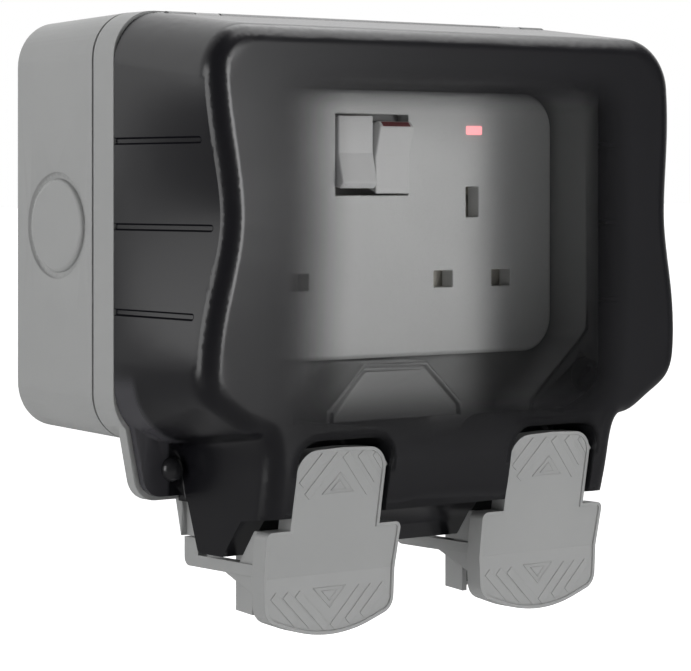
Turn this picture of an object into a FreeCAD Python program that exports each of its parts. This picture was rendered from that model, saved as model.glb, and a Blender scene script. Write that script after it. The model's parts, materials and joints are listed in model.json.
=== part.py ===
"""Two-gang weatherproof switched socket: back box, frame, switched insert, smoked lid and two latches.

The wall is the plane Y = 0, the front looks along -Y and Z is up. Distances called "out" are
measured from the wall towards the room, in millimetres.
"""
import FreeCAD, Part
import Sketcher
import math
import os

V = FreeCAD.Vector
doc = FreeCAD.newDocument("weatherproof_socket")
sheet = doc.addObject("Spreadsheet::Sheet", "dims")

SIZES = {
    # back box
    "box_half_width": 82.6, "box_half_height": 58.2, "box_corner": 13.0, "box_depth": 37.6,
    "box_wall": 2.5, "box_back_wall": 3.0, "box_lean": 1.3, "pillar_drop": 0.2, "pilot_floor": 4.0,
    "wall_hole_spacing_x": 120.0, "wall_hole_spacing_y": 70.0, "wall_hole_radius": 2.5,
    "knockout_radius": 12.9, "knockout_groove": 1.8, "knockout_sink": 0.8, "knockout_proud": 0.35,
    "knockout_thick": 1.55, "knockout_round": 1.1,
    "knockout_out": 20.0, "knockout_spread": 37.5, "pillar_radius": 5.0, "rib_thick": 1.8,
    # seals
    "seal_thick": 0.8, "seal_inset": 1.0, "seal_overlap": 0.6, "lid_seal_width": 1.3, "lid_seal_thick": 1.6,
    # frame
    "band_front": 48.05, "frame_wall": 2.5, "floor_thick": 2.5,
    "platform_front": 66.4, "platform_corner": 12.0, "recess_corner": 8.0,
    "lip_groove_start": 1.0, "lip_groove_width": 1.3, "lip_groove_depth": 1.0, "lip_groove_top": 22.0,
    "hump_half_width": 11.5, "hump_foot_x": 24.5, "skirt_back": 44.5,
    "ear_hole_radius": 3.5, "ear_corner": 7.0, "ear_inset": 1.2, "ear_thick": 2.2,
    "screw_head_radius": 5.1, "screw_head_thick": 2.6, "screw_sink": 0.2,
    "screw_shank_radius": 1.9, "screw_length": 44.0, "screw_clearance": 0.2, "screw_slot": 1.5,
    "screw_slot_length": 7.0, "screw_slot_depth": 1.4, "screw_slot_angle": -45.0, "boss_wall": 0.8,
    "outlet_x": 37.5, "spout_half_width": 10.4, "spout_front": 63.6, "spout_back": 56.0, "spout_wall": 1.6,
    "spout_slant": 0.6, "grommet_sink": 0.9, "membrane": 1.2,
    # insert
    "fascia_corner": 10.5, "fascia_thick": 5.0,
    "fascia_edge": 1.0, "pin_pitch_x": 11.1, "pin_row_z": -16.0, "earth_rise": 22.2,
    "aperture_w": 7.2, "aperture_t": 4.8, "earth_w": 4.9, "earth_t": 8.8,
    "rocker_z": 19.65, "rocker_w": 12.5, "rocker_gap": 0.9, "rocker_half_height": 10.6, "rocker_clearance": 0.4,
    "rocker_axis_out": 53.4, "rocker_crease_out": 57.0, "rocker_back_out": 50.6, "rocker_throw": 14.0,
    "rocker_pin_radius": 1.0, "running_clearance": 0.05, "flash_thick": 0.35,
    "nib_half": 1.6, "nib_out": 45.2,
    "neon_x": 38.1, "neon_z": 27.0, "neon_w": 5.6, "neon_t": 2.3, "neon_flange": 1.0, "neon_lamp_radius": 1.9,
    "insert_back": 30.0, "insert_wall": 2.0,
    "chamber_front": 48.4, "shutter_thick": 1.8, "shutter_travel": 5.6, "shutter_half_width": 15.6,
    "contact_back": 34.0, "clip_strip": 0.8, "leg_half": 1.5,
    "moving_contact_out": 43.6, "moving_contact_half": 6.0, "moving_contact_thick": 0.8,
    "terminal_radius": 2.4, "insert_screw_radius": 1.5,
    # lid
    "lid_gap": 0.3, "lid_wall": 2.2, "lid_corner": 14.5,
    "lid_front": 92.0, "lid_bulge": 3.6, "lid_edge_round": 6.0,
    "groove_pitch": 22.8, "groove_width": 1.5, "groove_depth": 0.7, "groove_reach": 86.4,
    "barrel_radius": 2.35, "hinge_pin_radius": 1.1,
    "knuckle_x": 55.0, "knuckle_width": 8.0, "knuckle_gap": 0.4, "hinge_pin_length": 19.0,
    # latches
    "latch_tilt": 10.0, "latch_pivot_out": 80.0, "latch_pin_radius": 1.5,
    "neck_half": 15.1, "neck_rise": 0.6, "neck_corner": 6.5, "plate_half": 22.8,
    "shoulder_round": 1.9, "foot_half": 21.7, "foot_round": 5.0, "foot_bow": 41.0, "plate_face_out": 90.4,
    "plate_thick": 2.0, "tray_depth": 5.4, "tray_wall": 1.8, "lug_thick": 2.4,
    "arm_width": 3.2, "arm_side": 0.4, "arm_thick": 3.2, "arm_reach": 47.2, "arm_round": 2.2,
    "hook_front": 53.5, "hook_gap": 0.4, "web_thick": 1.6,
    "pocket_half": 16.0, "pocket_corner": 6.5, "pocket_out": 72.0,
    "plug_proud": 3.0,
}

# Sizes that follow from another one, by the step that is added to it.
STEPS = {
    "box_half_width": {"platform_half_width": -4.6, "skirt_half_width": -22.3, "skirt_inner_half": -24.0,
                       "ear_hole_x": -17.3, "ear_root_x": -2.6, "ear_tip_x": -7.8, "screw_x": -10.3,
                       "lid_shoulder": 0.4, "lid_waist": -2.8, "lid_hip": 3.1, "lid_skirt_x": -20.8,
                       "lid_skirt_end_x": -21.6},
    "platform_half_width": {"recess_half_width": -5.3},
    "recess_half_width": {"slope_top_x": -3.7, "slope_end_x": -22.5, "fascia_half_width": -3.7},
    "fascia_half_width": {"insert_half_width": -11.0},
    "insert_half_width": {"insert_screw_x": -4.0},
    "box_half_height": {"platform_top": -6.8, "platform_bottom": -3.8, "skirt_bottom": 26.0,
                        "skirt_slope_start": 13.8, "ear_hole_z": 7.5, "ear_root_z": -10.2,
                        "ear_bottom": 15.9, "screw_z": -13.2, "spout_top": 2.8, "spout_bottom": 47.1,
                        "lid_top_back": -0.2, "lid_bottom": 29.8, "lid_skirt_z": 7.8, "lid_hip_z": -22.2},
    "platform_top": {"recess_top": -11.0},
    "recess_top": {"fascia_half_height": -2.4},
    "fascia_half_height": {"insert_half_height": -9.0},
    "platform_bottom": {"slope_top_z": -19.4, "slope_end_z": -3.2, "hump_top": -15.7, "hump_foot_z": -3.7},
    "lid_top_back": {"lid_top_front": -5.2, "hinge_z": -2.4},
    "lid_bottom": {"latch_pivot_z": -15.5, "arm_top": 1.2, "pocket_top": -31.8},
    "latch_pivot_z": {"neck_top": -13.5, "shoulder_z": 7.5, "crease_z": 20.2, "foot_z": 31.1,
                      "foot_apex": 38.9},
    "band_front": {"floor_front": 2.95, "skirt_front": 4.65, "skirt_toe": 0.15, "hinge_out": 3.55},
}


class Size:
    """A length that carries its value in millimetres and its formula in the sheet."""

    def __init__(self, value, formula):
        self.value = value
        self.formula = formula

    def join(self, other, sign, value):
        return Size(value, f"({self.formula} {sign} {size(other).formula})")

    def __add__(self, other):
        return self.join(other, "+", self.value + size(other).value)

    def __sub__(self, other):
        return self.join(other, "-", self.value - size(other).value)

    def __mul__(self, other):
        return self.join(other, "*", self.value * size(other).value)

    def __truediv__(self, other):
        return self.join(other, "/", self.value / size(other).value)

    def __neg__(self):
        return Size(-self.value, f"(-1 * {self.formula})")

    def __radd__(self, other):
        return size(other) + self

    def __rsub__(self, other):
        return size(other) - self

    def __rmul__(self, other):
        return size(other) * self

    def __float__(self):
        return float(self.value)


def size(thing):
    return thing if isinstance(thing, Size) else Size(float(thing), f"{float(thing):.6f}")


class Dims:
    """Every cell of the sheet as an attribute."""


def fill_sheet():
    dims = Dims()
    rows = dict(SIZES)
    for steps in STEPS.values():
        rows.update({alias + "_step": step for alias, step in steps.items()})
    for row, (alias, value) in enumerate(rows.items(), 1):
        sheet.set(f"A{row}", alias)
        sheet.set(f"B{row}", str(value))
        sheet.setAlias(f"B{row}", alias)
    doc.recompute()
    for alias in rows:
        setattr(dims, alias, Size(float(getattr(sheet, alias)), f"dims.{alias}"))
    for base, steps in STEPS.items():
        for alias in steps:
            setattr(dims, alias, getattr(dims, base) + getattr(dims, alias + "_step"))
    return dims


d = fill_sheet()
NODES = {}


def bind(thing, prop, length):
    thing.setExpression(prop, size(length).formula)


def node(label, thing):
    """Names a finished piece: its label is the name of its file."""
    thing.Label = label
    NODES[label] = thing
    return thing


def place(thing, x, out, z, turn=None):
    """Puts an object at X, its distance from the wall and Z, turned by a fixed rotation."""
    thing.Placement = FreeCAD.Placement(V(0, 0, 0), turn or FreeCAD.Rotation())
    for axis, length in (("x", x), ("y", -size(out)), ("z", z)):
        bind(thing, f"Placement.Base.{axis}", length)
    return thing


def block(name, x, out, z):
    """A box between two X values, two distances from the wall and two heights."""
    box = doc.addObject("Part::Box", name)
    bind(box, "Length", size(x[1]) - x[0])
    bind(box, "Width", size(out[1]) - out[0])
    bind(box, "Height", size(z[1]) - z[0])
    return place(box, x[0], out[1], z[0])


OUTWARD = FreeCAD.Rotation(V(1, 0, 0), 90)
ACROSS = FreeCAD.Rotation(V(0, 1, 0), 90)
UPRIGHT = FreeCAD.Rotation()


def rod(name, radius, x, out, z, length, turn=OUTWARD):
    """A cylinder that starts at a point and runs outwards, across to +X or upwards."""
    cylinder = doc.addObject("Part::Cylinder", name)
    bind(cylinder, "Radius", radius)
    bind(cylinder, "Height", length)
    return place(cylinder, x, out, z, turn)


def fused(name, *pieces):
    fuse = doc.addObject("Part::MultiFuse", name)
    fuse.Shapes = list(pieces)
    fuse.Refine = True
    return fuse


def less(name, base, *tools):
    """The base with every tool cut away."""
    cut = doc.addObject("Part::Cut", name)
    cut.Base = base
    cut.Tool = tools[0] if len(tools) == 1 else fused(name + "_tools", *tools)
    cut.Refine = True
    return cut


def shared(name, first, second):
    common = doc.addObject("Part::Common", name)
    common.Base = first
    common.Tool = second
    common.Refine = True
    return common


def origin_plane(body, role):
    return next(plane for plane in body.Origin.OriginFeatures if plane.Role == role)


def draw_outline(sketch, corners):
    """A closed outline of straight lines whose corners may carry a tangent arc.

    A corner is (across, up) or (across, up, radius), each length bound to the sheet.
    """
    corners = [(size(c[0]), size(c[1]), size(c[2]) if len(c) > 2 else None) for c in corners]
    points = [V(float(c[0]), float(c[1]), 0) for c in corners]
    count = len(corners)
    trims = []
    for i, corner in enumerate(corners):
        here = points[i]
        before = (points[i - 1] - here).normalize()
        after = (points[(i + 1) % count] - here).normalize()
        reach = 0.0
        if corner[2] is not None:
            reach = float(corner[2]) / math.tan(before.getAngle(after) / 2)
        trims.append((here + before * reach, here + after * reach, before, after))
    first = sketch.GeometryCount
    for i in range(count):
        sketch.addGeometry(Part.LineSegment(trims[i][1], trims[(i + 1) % count][0]), False)
    marks = []
    for i, corner in enumerate(corners):
        marks.append(sketch.addGeometry(Part.Point(points[i]), True))
        for prop, along in (("DistanceX", 0), ("DistanceY", 1)):
            value = (points[i].x, points[i].y)[along]
            number = sketch.addConstraint(Sketcher.Constraint(prop, -1, 1, marks[i], 1, value))
            sketch.setExpression(f"Constraints[{number}]", corner[along].formula)
    for i, corner in enumerate(corners):
        line_in = first + (i - 1) % count
        line_out = first + i
        if corner[2] is None:
            sketch.addConstraint(Sketcher.Constraint("Coincident", line_in, 2, marks[i], 1))
            sketch.addConstraint(Sketcher.Constraint("Coincident", line_out, 1, marks[i], 1))
            continue
        start, end, before, after = trims[i]
        radius = float(corner[2])
        bisector = (before + after).normalize()
        centre = points[i] + bisector * (radius / math.sin(before.getAngle(after) / 2))
        middle = centre - bisector * radius
        arc = sketch.addGeometry(Part.Arc(start, middle, end), False)
        flip = sketch.getPoint(arc, 1).distanceToPoint(start) > sketch.getPoint(arc, 2).distanceToPoint(start)
        start_end, end_end = (2, 1) if flip else (1, 2)
        sketch.addConstraint(Sketcher.Constraint("Tangent", line_in, 2, arc, start_end))
        sketch.addConstraint(Sketcher.Constraint("Tangent", line_out, 1, arc, end_end))
        sketch.addConstraint(Sketcher.Constraint("PointOnObject", marks[i], 1, line_in))
        sketch.addConstraint(Sketcher.Constraint("PointOnObject", marks[i], 1, line_out))
        number = sketch.addConstraint(Sketcher.Constraint("Radius", arc, radius))
        sketch.setExpression(f"Constraints[{number}]", corner[2].formula)


def prism(name, loops, start, length, role="XZ_Plane", draft=None):
    """A body padded from a sketch: outwards from XZ_Plane, to +X from YZ_Plane, up from XY_Plane."""
    body = doc.addObject("PartDesign::Body", name)
    sketch = body.newObject("Sketcher::SketchObject", name + "_sketch")
    sketch.AttachmentSupport = (origin_plane(body, role), [""])
    sketch.MapMode = "FlatFace"
    bind(sketch, "AttachmentOffset.Base.z", start)
    for loop in loops:
        draw_outline(sketch, loop)
    pad = body.newObject("PartDesign::Pad", name + "_pad")
    pad.Profile = sketch
    bind(pad, "Length", length)
    if draft is not None:
        bind(pad, "TaperAngle", draft)
    sketch.Visibility = False
    return body


def tapered(name, back, front, start, end):
    """A body lofted from an outline at its back to a like outline at its front."""
    body = doc.addObject("PartDesign::Body", name)
    sketches = []
    for tag, outline, out in (("back", back, start), ("front", front, end)):
        sketch = body.newObject("Sketcher::SketchObject", f"{name}_{tag}")
        sketch.AttachmentSupport = (origin_plane(body, "XZ_Plane"), [""])
        sketch.MapMode = "FlatFace"
        bind(sketch, "AttachmentOffset.Base.z", out)
        draw_outline(sketch, outline)
        sketch.Visibility = False
        sketches.append(sketch)
    loft = body.newObject("PartDesign::AdditiveLoft", name + "_loft")
    loft.Profile = sketches[0]
    loft.Sections = [sketches[1]]
    loft.Ruled = True
    return body


def frame_rectangle(half_width, bottom, top, radius=None):
    """Corners of an upright rectangle centred on X = 0."""
    half_width = size(half_width)
    ends = [(-half_width, bottom), (half_width, bottom), (half_width, top), (-half_width, top)]
    return ends if radius is None else [(*end, radius) for end in ends]


SIDES = (-1, 1)
SIDE_NAMES = {-1: "left", 1: "right"}


def box_height(out, inset=0):
    """Half the height of the back box at a distance from the wall: its top and bottom lean in backwards."""
    return d.box_half_height - d.box_lean * (1 - size(out) / d.box_depth) - inset


def box_outline(out, inset=0):
    """The rounded rectangle of the back box at a distance from the wall, smaller by an inset."""
    height = box_height(out, inset)
    return frame_rectangle(d.box_half_width - inset, -height, height, d.box_corner - inset)


def back_box():
    """Deep box with four screw pillars on ribs, wall screw holes and round knock-outs."""
    shell = tapered("box_shell", box_outline(0), box_outline(d.box_depth), 0, d.box_depth)
    past = d.box_depth + 1
    core = tapered("box_core", box_outline(d.box_back_wall, d.box_wall), box_outline(past, d.box_wall),
                   d.box_back_wall, past)
    solids = [less("box_hollow", shell, core)]
    cuts = []
    outs = (d.box_back_wall, d.box_depth - d.pillar_drop)
    half_rib = d.rib_thick / 2
    wall_x = d.box_half_width - d.box_wall / 2
    wall_z = box_height(d.box_back_wall) - d.box_wall / 2
    for side_x in SIDES:
        for side_z in SIDES:
            x = side_x * d.screw_x
            z = side_z * d.screw_z
            tag = f"{side_x}_{side_z}"
            solids.append(rod(f"pillar_{tag}", d.pillar_radius, x, outs[0], z, outs[1] - outs[0]))
            span_x = (x, wall_x) if side_x > 0 else (-wall_x, x)
            span_z = (z, wall_z) if side_z > 0 else (-wall_z, z)
            solids.append(block(f"rib_side_{tag}", span_x, outs, (z - half_rib, z + half_rib)))
            solids.append(block(f"rib_end_{tag}", (x - half_rib, x + half_rib), outs, span_z))
            cuts.append(rod(f"pilot_{tag}", d.screw_shank_radius, x, d.pilot_floor + d.box_back_wall, z,
                            d.box_depth))
            hole_x = side_x * d.wall_hole_spacing_x / 2
            hole_z = side_z * d.wall_hole_spacing_y / 2
            cuts.append(rod(f"wall_hole_{tag}", d.wall_hole_radius, hole_x, -1, hole_z, d.box_back_wall + 2))
    height = box_height(d.knockout_out)
    places = [(side * d.box_half_width, size(0), V(side, 0, 0)) for side in SIDES]
    for end in SIDES:
        places += [(side * d.knockout_spread, end * height, V(0, 0, end)) for side in SIDES]
    discs = []
    for number, (x, z, facing) in enumerate(places):
        lean = math.atan(float(d.box_lean / d.box_depth)) if facing.z else 0
        direction = facing * math.cos(lean) + V(0, math.sin(lean), 0)
        turn = FreeCAD.Rotation(V(0, 0, 1), direction)
        cuts.append(knockout_rod(f"groove_{number}", d.knockout_radius + d.knockout_groove, x, z, direction, turn,
                                 -d.knockout_sink, size(3)))
        disc = knockout_rod(f"disc_{number}", d.knockout_radius, x, z, direction, turn,
                            d.knockout_proud - d.knockout_thick, d.knockout_thick)
        discs.append(rounded(f"disc_round_{number}", disc, d.knockout_round, direction))
    bored = less("box_bored", fused("box_walls", *solids), *cuts)
    node("back_box", fused("back_box", bored, *discs))


def knockout_rod(name, radius, x, z, direction, turn, start, length):
    """A cylinder square to a wall of the box, from a height above that wall's outer face."""
    return rod(name, radius, x + direction.x * start, d.knockout_out - direction.y * start,
               z + direction.z * start, length, turn)


def rounded(name, base, radius, direction):
    """The base with the rim of its end face in a direction rounded."""
    doc.recompute()
    edges = base.Shape.Edges
    far = max(range(len(edges)), key=lambda i: edges[i].CenterOfMass.dot(direction))
    fillet = doc.addObject("Part::Fillet", name)
    fillet.Base = base
    fillet.Edges = [(far + 1, float(radius), float(radius))]
    return fillet


def ring_loops(outer_half_width, outer_half_height, corner, width):
    """Two nested rounded rectangles, for a seal or a wall."""
    return [frame_rectangle(outer_half_width, -outer_half_height, outer_half_height, corner),
            frame_rectangle(outer_half_width - width, width - outer_half_height,
                            outer_half_height - width, corner - width)]


def box_seal():
    """Flat gasket between the rim of the box and the frame, set in a little so that a seam shows."""
    loops = ring_loops(d.box_half_width - d.seal_inset, d.box_half_height - d.seal_inset,
                       d.box_corner - d.seal_inset, d.box_wall - d.seal_inset + d.seal_overlap)
    node("box_seal", prism("box_seal", loops, d.box_depth, d.seal_thick))


def recess_outline(grow=0):
    """Outline of the platform's recess: the fascia's bay, the centre hump and two cable channels.

    A grow of more than 0 moves the outline outwards, for the wall behind it.
    """
    grow = size(grow)
    right = [
        (d.slope_end_x + grow, -(d.platform_bottom + 4)),
        (d.slope_end_x + grow, -d.slope_end_z - 0.5 * grow),
        (d.slope_top_x + grow * 0.6, -d.slope_top_z - grow * 0.8),
        (d.recess_half_width + grow, -(d.slope_top_z - (d.recess_half_width - d.slope_top_x)) - grow * 0.5),
        (d.recess_half_width + grow, d.recess_top + grow, d.recess_corner),
    ]
    left = [(-c[0], *c[1:]) for c in reversed(right)]
    hump = [
        (-(d.hump_foot_x - grow), -(d.platform_bottom + 4)),
        (-(d.hump_foot_x - grow), -d.hump_foot_z - grow * 0.4),
        (-(d.hump_half_width - grow * 0.4), -d.hump_top - grow),
        (d.hump_half_width - grow * 0.4, -d.hump_top - grow),
        (d.hump_foot_x - grow, -d.hump_foot_z - grow * 0.4),
        (d.hump_foot_x - grow, -(d.platform_bottom + 4)),
    ]
    return right + left + hump


def platform_outline(shrink=0):
    """Outline of the raised platform inside the lid, smaller by a wall when it is the hollow behind."""
    shrink = size(shrink)
    side = d.platform_half_width - shrink
    bottom = shrink - d.platform_bottom
    half = [
        (d.skirt_half_width + 4 - shrink, bottom),
        (side - 4.0, -(d.screw_z + 5.0) + shrink * 0.7, 4),
        (side, -(d.screw_z - 3) + shrink * 0.2, 3),
        (side, d.platform_top - shrink, d.platform_corner - shrink),
    ]
    return half + [(-c[0], *c[1:]) for c in reversed(half)]


def ear_outline(side, inset=0):
    """One lock ear: a lug below the corner with its outer edge sloping in, smaller by an inset."""
    inner = d.skirt_half_width - 4
    bottom = inset - d.ear_bottom
    points = [(inner, -d.ear_root_z), (inner, bottom), (d.ear_tip_x - inset, bottom, d.ear_corner - inset),
              (d.ear_root_x - inset, -d.ear_root_z)]
    return [(side * p[0], *p[1:]) for p in points]


def frame():
    """Front frame moulding, hollow from behind, with platform, skirt, lock ears and cable spouts."""
    band_back = d.box_depth + d.seal_thick
    band = prism("band", [frame_rectangle(d.box_half_width, -d.box_half_height, d.box_half_height,
                                          d.box_corner)], band_back, d.band_front - band_back)
    platform = prism("platform", [platform_outline()], d.band_front - 1, d.platform_front - d.band_front + 1)
    skirt_top = -(d.platform_bottom - 4)
    skirt_side = [(-d.skirt_back, skirt_top), (-d.skirt_back, -d.skirt_slope_start),
                  (-d.skirt_toe + 0.5, -d.skirt_bottom), (-d.band_front, -d.skirt_bottom),
                  (-d.band_front, skirt_top)]
    skirt = prism("skirt", [skirt_side], -d.skirt_half_width, d.skirt_half_width * 2, "YZ_Plane")
    inner_skirt = block("inner_skirt", (-d.skirt_inner_half, d.skirt_inner_half),
                        (d.band_front - 1, d.skirt_front), (-d.skirt_bottom, skirt_top))
    ears = [prism(f"frame_ear_{SIDE_NAMES[s]}", [ear_outline(s)], d.skirt_back, d.band_front - d.skirt_back)
            for s in SIDES]
    band_wall = d.frame_wall
    hollow = prism("band_hollow", [frame_rectangle(d.box_half_width - band_wall,
                                                   band_wall - d.box_half_height,
                                                   d.box_half_height - band_wall,
                                                   d.box_corner - band_wall)],
                   band_back - 1, d.floor_front - d.floor_thick - band_back + 1)
    room = prism("platform_room", [platform_outline(band_wall)], band_back,
                 d.platform_front - band_wall - band_back)
    recess_wall = prism("recess_wall", [recess_outline(band_wall)], band_back - 1,
                        d.platform_front - band_back + 2)
    behind = less("platform_hollow", room, recess_wall)
    recess = prism("recess", [recess_outline()], d.floor_front, d.platform_front - d.floor_front + 1)
    groove_back = d.platform_front - d.lip_groove_depth
    groove_ring = less("lip_groove_ring",
                       prism("lip_outer", [recess_outline(d.lip_groove_start + d.lip_groove_width)], groove_back,
                             d.lip_groove_depth + 1),
                       prism("lip_inner", [recess_outline(d.lip_groove_start)], groove_back - 1,
                             d.lip_groove_depth + 3))
    lower = block("lip_groove_reach", (-d.box_half_width, d.box_half_width), (groove_back - 1, d.platform_front + 1),
                  (-(d.platform_bottom + 2), -d.lip_groove_top))
    groove = shared("lip_groove", groove_ring, lower)
    window = prism("insert_window", [frame_rectangle(d.insert_half_width + 0.4, -(d.insert_half_height + 0.4),
                                                     d.insert_half_height + 0.4)],
                   band_back, d.floor_front - band_back + 1)
    skirt_hollow = block("skirt_hollow", (-(d.skirt_half_width - band_wall), d.skirt_half_width - band_wall),
                         (d.skirt_back - 1, d.skirt_front - band_wall),
                         (-(d.skirt_slope_start + 4), -(d.box_half_height + 1)))
    cuts = [hollow, behind, recess, window, skirt_hollow, groove]
    adds = []
    knuckles = []
    for side in SIDES:
        name = SIDE_NAMES[side]
        cuts.append(rod(f"ear_bore_{name}", d.ear_hole_radius, side * d.ear_hole_x, d.skirt_back - 1,
                        -d.ear_hole_z, 10))
        for up in SIDES:
            tag = f"{name}_{up}"
            x = side * d.screw_x
            z = up * d.screw_z
            adds.append(rod(f"boss_{tag}", d.screw_head_radius + d.boss_wall, x, band_back, z,
                            d.platform_front - band_back - d.screw_sink))
    shell = less("frame_shell", fused("frame_mass", band, platform, skirt, inner_skirt, *ears), *cuts)
    trimmed = shared("boss_trim", fused("bosses", *adds), fused("frame_limits", band_copy(), platform_copy()))
    bores = []
    for side in SIDES:
        for up in SIDES:
            tag = f"{SIDE_NAMES[side]}_{up}"
            x = side * d.screw_x
            z = up * d.screw_z
            bores.append(rod(f"clear_{tag}", d.screw_shank_radius + d.screw_clearance, x, band_back - 1, z, 40))
            bores.append(rod(f"counterbore_{tag}", d.screw_head_radius + d.screw_clearance, x,
                             d.platform_front - d.screw_head_thick - d.screw_sink, z, 8))
        spout = spout_solids(side)
        knuckles.append(knuckle(side))
        knuckles.append(spout)
        axle_x = side * d.knuckle_x - d.knuckle_width
        bores.append(rod(f"knuckle_bore_{SIDE_NAMES[side]}", d.hinge_pin_radius, axle_x, d.hinge_out,
                         d.hinge_z, d.knuckle_width * 2, ACROSS))
    whole = fused("frame_whole", shell, trimmed, *knuckles)
    node("frame", less("frame", whole, *bores))


def band_copy():
    """Room that the screw bosses may fill inside the band."""
    back = d.box_depth + d.seal_thick
    return prism("band_limit", [frame_rectangle(d.box_half_width - 1, 1 - d.box_half_height,
                                                d.box_half_height - 1, d.box_corner - 1)],
                 back, d.band_front - back)


def platform_copy():
    """Room that the screw bosses may fill inside the platform."""
    back = d.box_depth + d.seal_thick
    return prism("platform_limit", [platform_outline()], back, d.platform_front - back - 0.1)


def knuckle(side):
    """Hinge lug on the front of the frame, round about the lid's axis."""
    x = side * d.knuckle_x
    half = d.knuckle_width / 2
    nose = rod(f"knuckle_nose_{side}", d.barrel_radius, x - half, d.hinge_out, d.hinge_z, d.knuckle_width, ACROSS)
    web = block(f"knuckle_web_{side}", (x - half, x + half), (d.band_front - 1, d.hinge_out),
                (d.hinge_z - d.barrel_radius, d.hinge_z + d.barrel_radius - 1.2))
    return fused(f"knuckle_{side}", nose, web)


def spout_side():
    """Side outline of a cable spout, from the skirt down, slanted at its mouth."""
    return [(-d.skirt_front + 0.5, -d.spout_top), (-d.skirt_front + 0.5, -(d.skirt_bottom - 0.5)),
            (-d.spout_back, -(d.skirt_bottom + 5)), (-d.spout_back, -(d.spout_bottom - d.spout_slant)),
            (-d.spout_front, -d.spout_bottom), (-d.spout_front, -(d.spout_top + 5), 2)]


def spout_solids(side):
    """A trough that leads the cable down and out, open in front for the grommet."""
    x = side * d.outlet_x
    name = SIDE_NAMES[side]
    mass = prism(f"spout_mass_{name}", [spout_side()], x - d.spout_half_width, d.spout_half_width * 2, "YZ_Plane")
    bore = block(f"spout_bore_{name}", (x - d.spout_half_width + d.spout_wall, x + d.spout_half_width - d.spout_wall),
                 (d.spout_back + d.spout_wall, d.spout_front + 2), (-(d.spout_bottom + 3), -(d.spout_top - 3)))
    return less(f"spout_{name}", mass, bore)


def grommets():
    """Rubber blocks in the spouts, each with a cable bore closed by a thin membrane."""
    for side in SIDES:
        name = SIDE_NAMES[side]
        x = side * d.outlet_x
        half = d.spout_half_width - d.spout_wall
        outs = (d.spout_back + d.spout_wall, d.spout_front - d.grommet_sink)
        mass = block(f"grommet_mass_{name}", (x - half, x + half), outs,
                     (-(d.spout_bottom - 2.4), -(d.spout_bottom - 22)))
        middle = (outs[0] + outs[1]) / 2
        low = rod(f"grommet_low_{name}", outs_radius(outs), x, middle, -(d.spout_bottom + 1), 9, UPRIGHT)
        high = rod(f"grommet_high_{name}", outs_radius(outs), x, middle,
                   -(d.spout_bottom - 8 - d.membrane), 30, UPRIGHT)
        node(f"grommet_{name}", less(f"grommet_{name}", mass, low, high))


def outs_radius(outs):
    """The largest cable bore that leaves a rubber wall in front and behind."""
    return (outs[1] - outs[0]) / 2 - 0.8


def frame_screws():
    """Four slotted screws through the frame into the pillars of the box."""
    screws = []
    face = d.platform_front - d.screw_sink
    turn = FreeCAD.Rotation(V(0, 1, 0), float(d.screw_slot_angle))
    corner = turn.multVec(V(-float(d.screw_slot_length) / 2, 0, -float(d.screw_slot) / 2))
    for side in SIDES:
        for up in SIDES:
            tag = f"{side}_{up}"
            x = side * d.screw_x
            z = up * d.screw_z
            head = rod(f"screw_head_{tag}", d.screw_head_radius, x, face - d.screw_head_thick, z,
                       d.screw_head_thick)
            shank = rod(f"screw_shank_{tag}", d.screw_shank_radius - d.running_clearance, x,
                        face - d.screw_length, z, d.screw_length)
            slot = doc.addObject("Part::Box", f"screw_slot_{tag}")
            bind(slot, "Length", d.screw_slot_length)
            bind(slot, "Width", d.screw_slot_depth + 1)
            bind(slot, "Height", d.screw_slot)
            place(slot, x + corner.x, face + 1, z + corner.z, turn)
            screws.append(less(f"screw_{tag}", fused(f"screw_solid_{tag}", head, shank), slot))
    compound = doc.addObject("Part::Compound", "frame_screws")
    compound.Links = screws
    node("frame_screws", compound)


def lid_seal():
    """Rubber strip round the foot of the platform that the lid's wall closes over."""
    outer = [(d.platform_half_width + d.lid_seal_width, -(d.screw_z - 6)),
             (d.platform_half_width + d.lid_seal_width, d.platform_top + d.lid_seal_width,
              d.platform_corner + d.lid_seal_width)]
    inner = [(d.platform_half_width + 0.02, d.platform_top + 0.02, d.platform_corner),
             (d.platform_half_width + 0.02, -(d.screw_z - 6))]
    loop = outer + [(-c[0], *c[1:]) for c in reversed(outer)]
    loop += [(-c[0], *c[1:]) for c in reversed(inner)] + inner
    node("lid_seal", prism("lid_seal", [loop], d.band_front, d.lid_seal_thick))


def rocker_x(side):
    """Centre of a rocker across the fascia."""
    return side * (d.rocker_w + d.rocker_gap) / 2


def well_half():
    return d.rocker_w + d.rocker_gap / 2 + d.rocker_clearance


def well_rise():
    return d.rocker_half_height + d.rocker_clearance + 0.5


def pin_places(side):
    """Where the three pins of a plug go in, with the half sizes of each aperture."""
    x = side * d.outlet_x
    return {
        "neutral": (x - d.pin_pitch_x, d.pin_row_z, d.aperture_w / 2, d.aperture_t / 2),
        "live": (x + d.pin_pitch_x, d.pin_row_z, d.aperture_w / 2, d.aperture_t / 2),
        "earth": (x, d.pin_row_z + d.earth_rise, d.earth_w / 2, d.earth_t / 2),
    }


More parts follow.
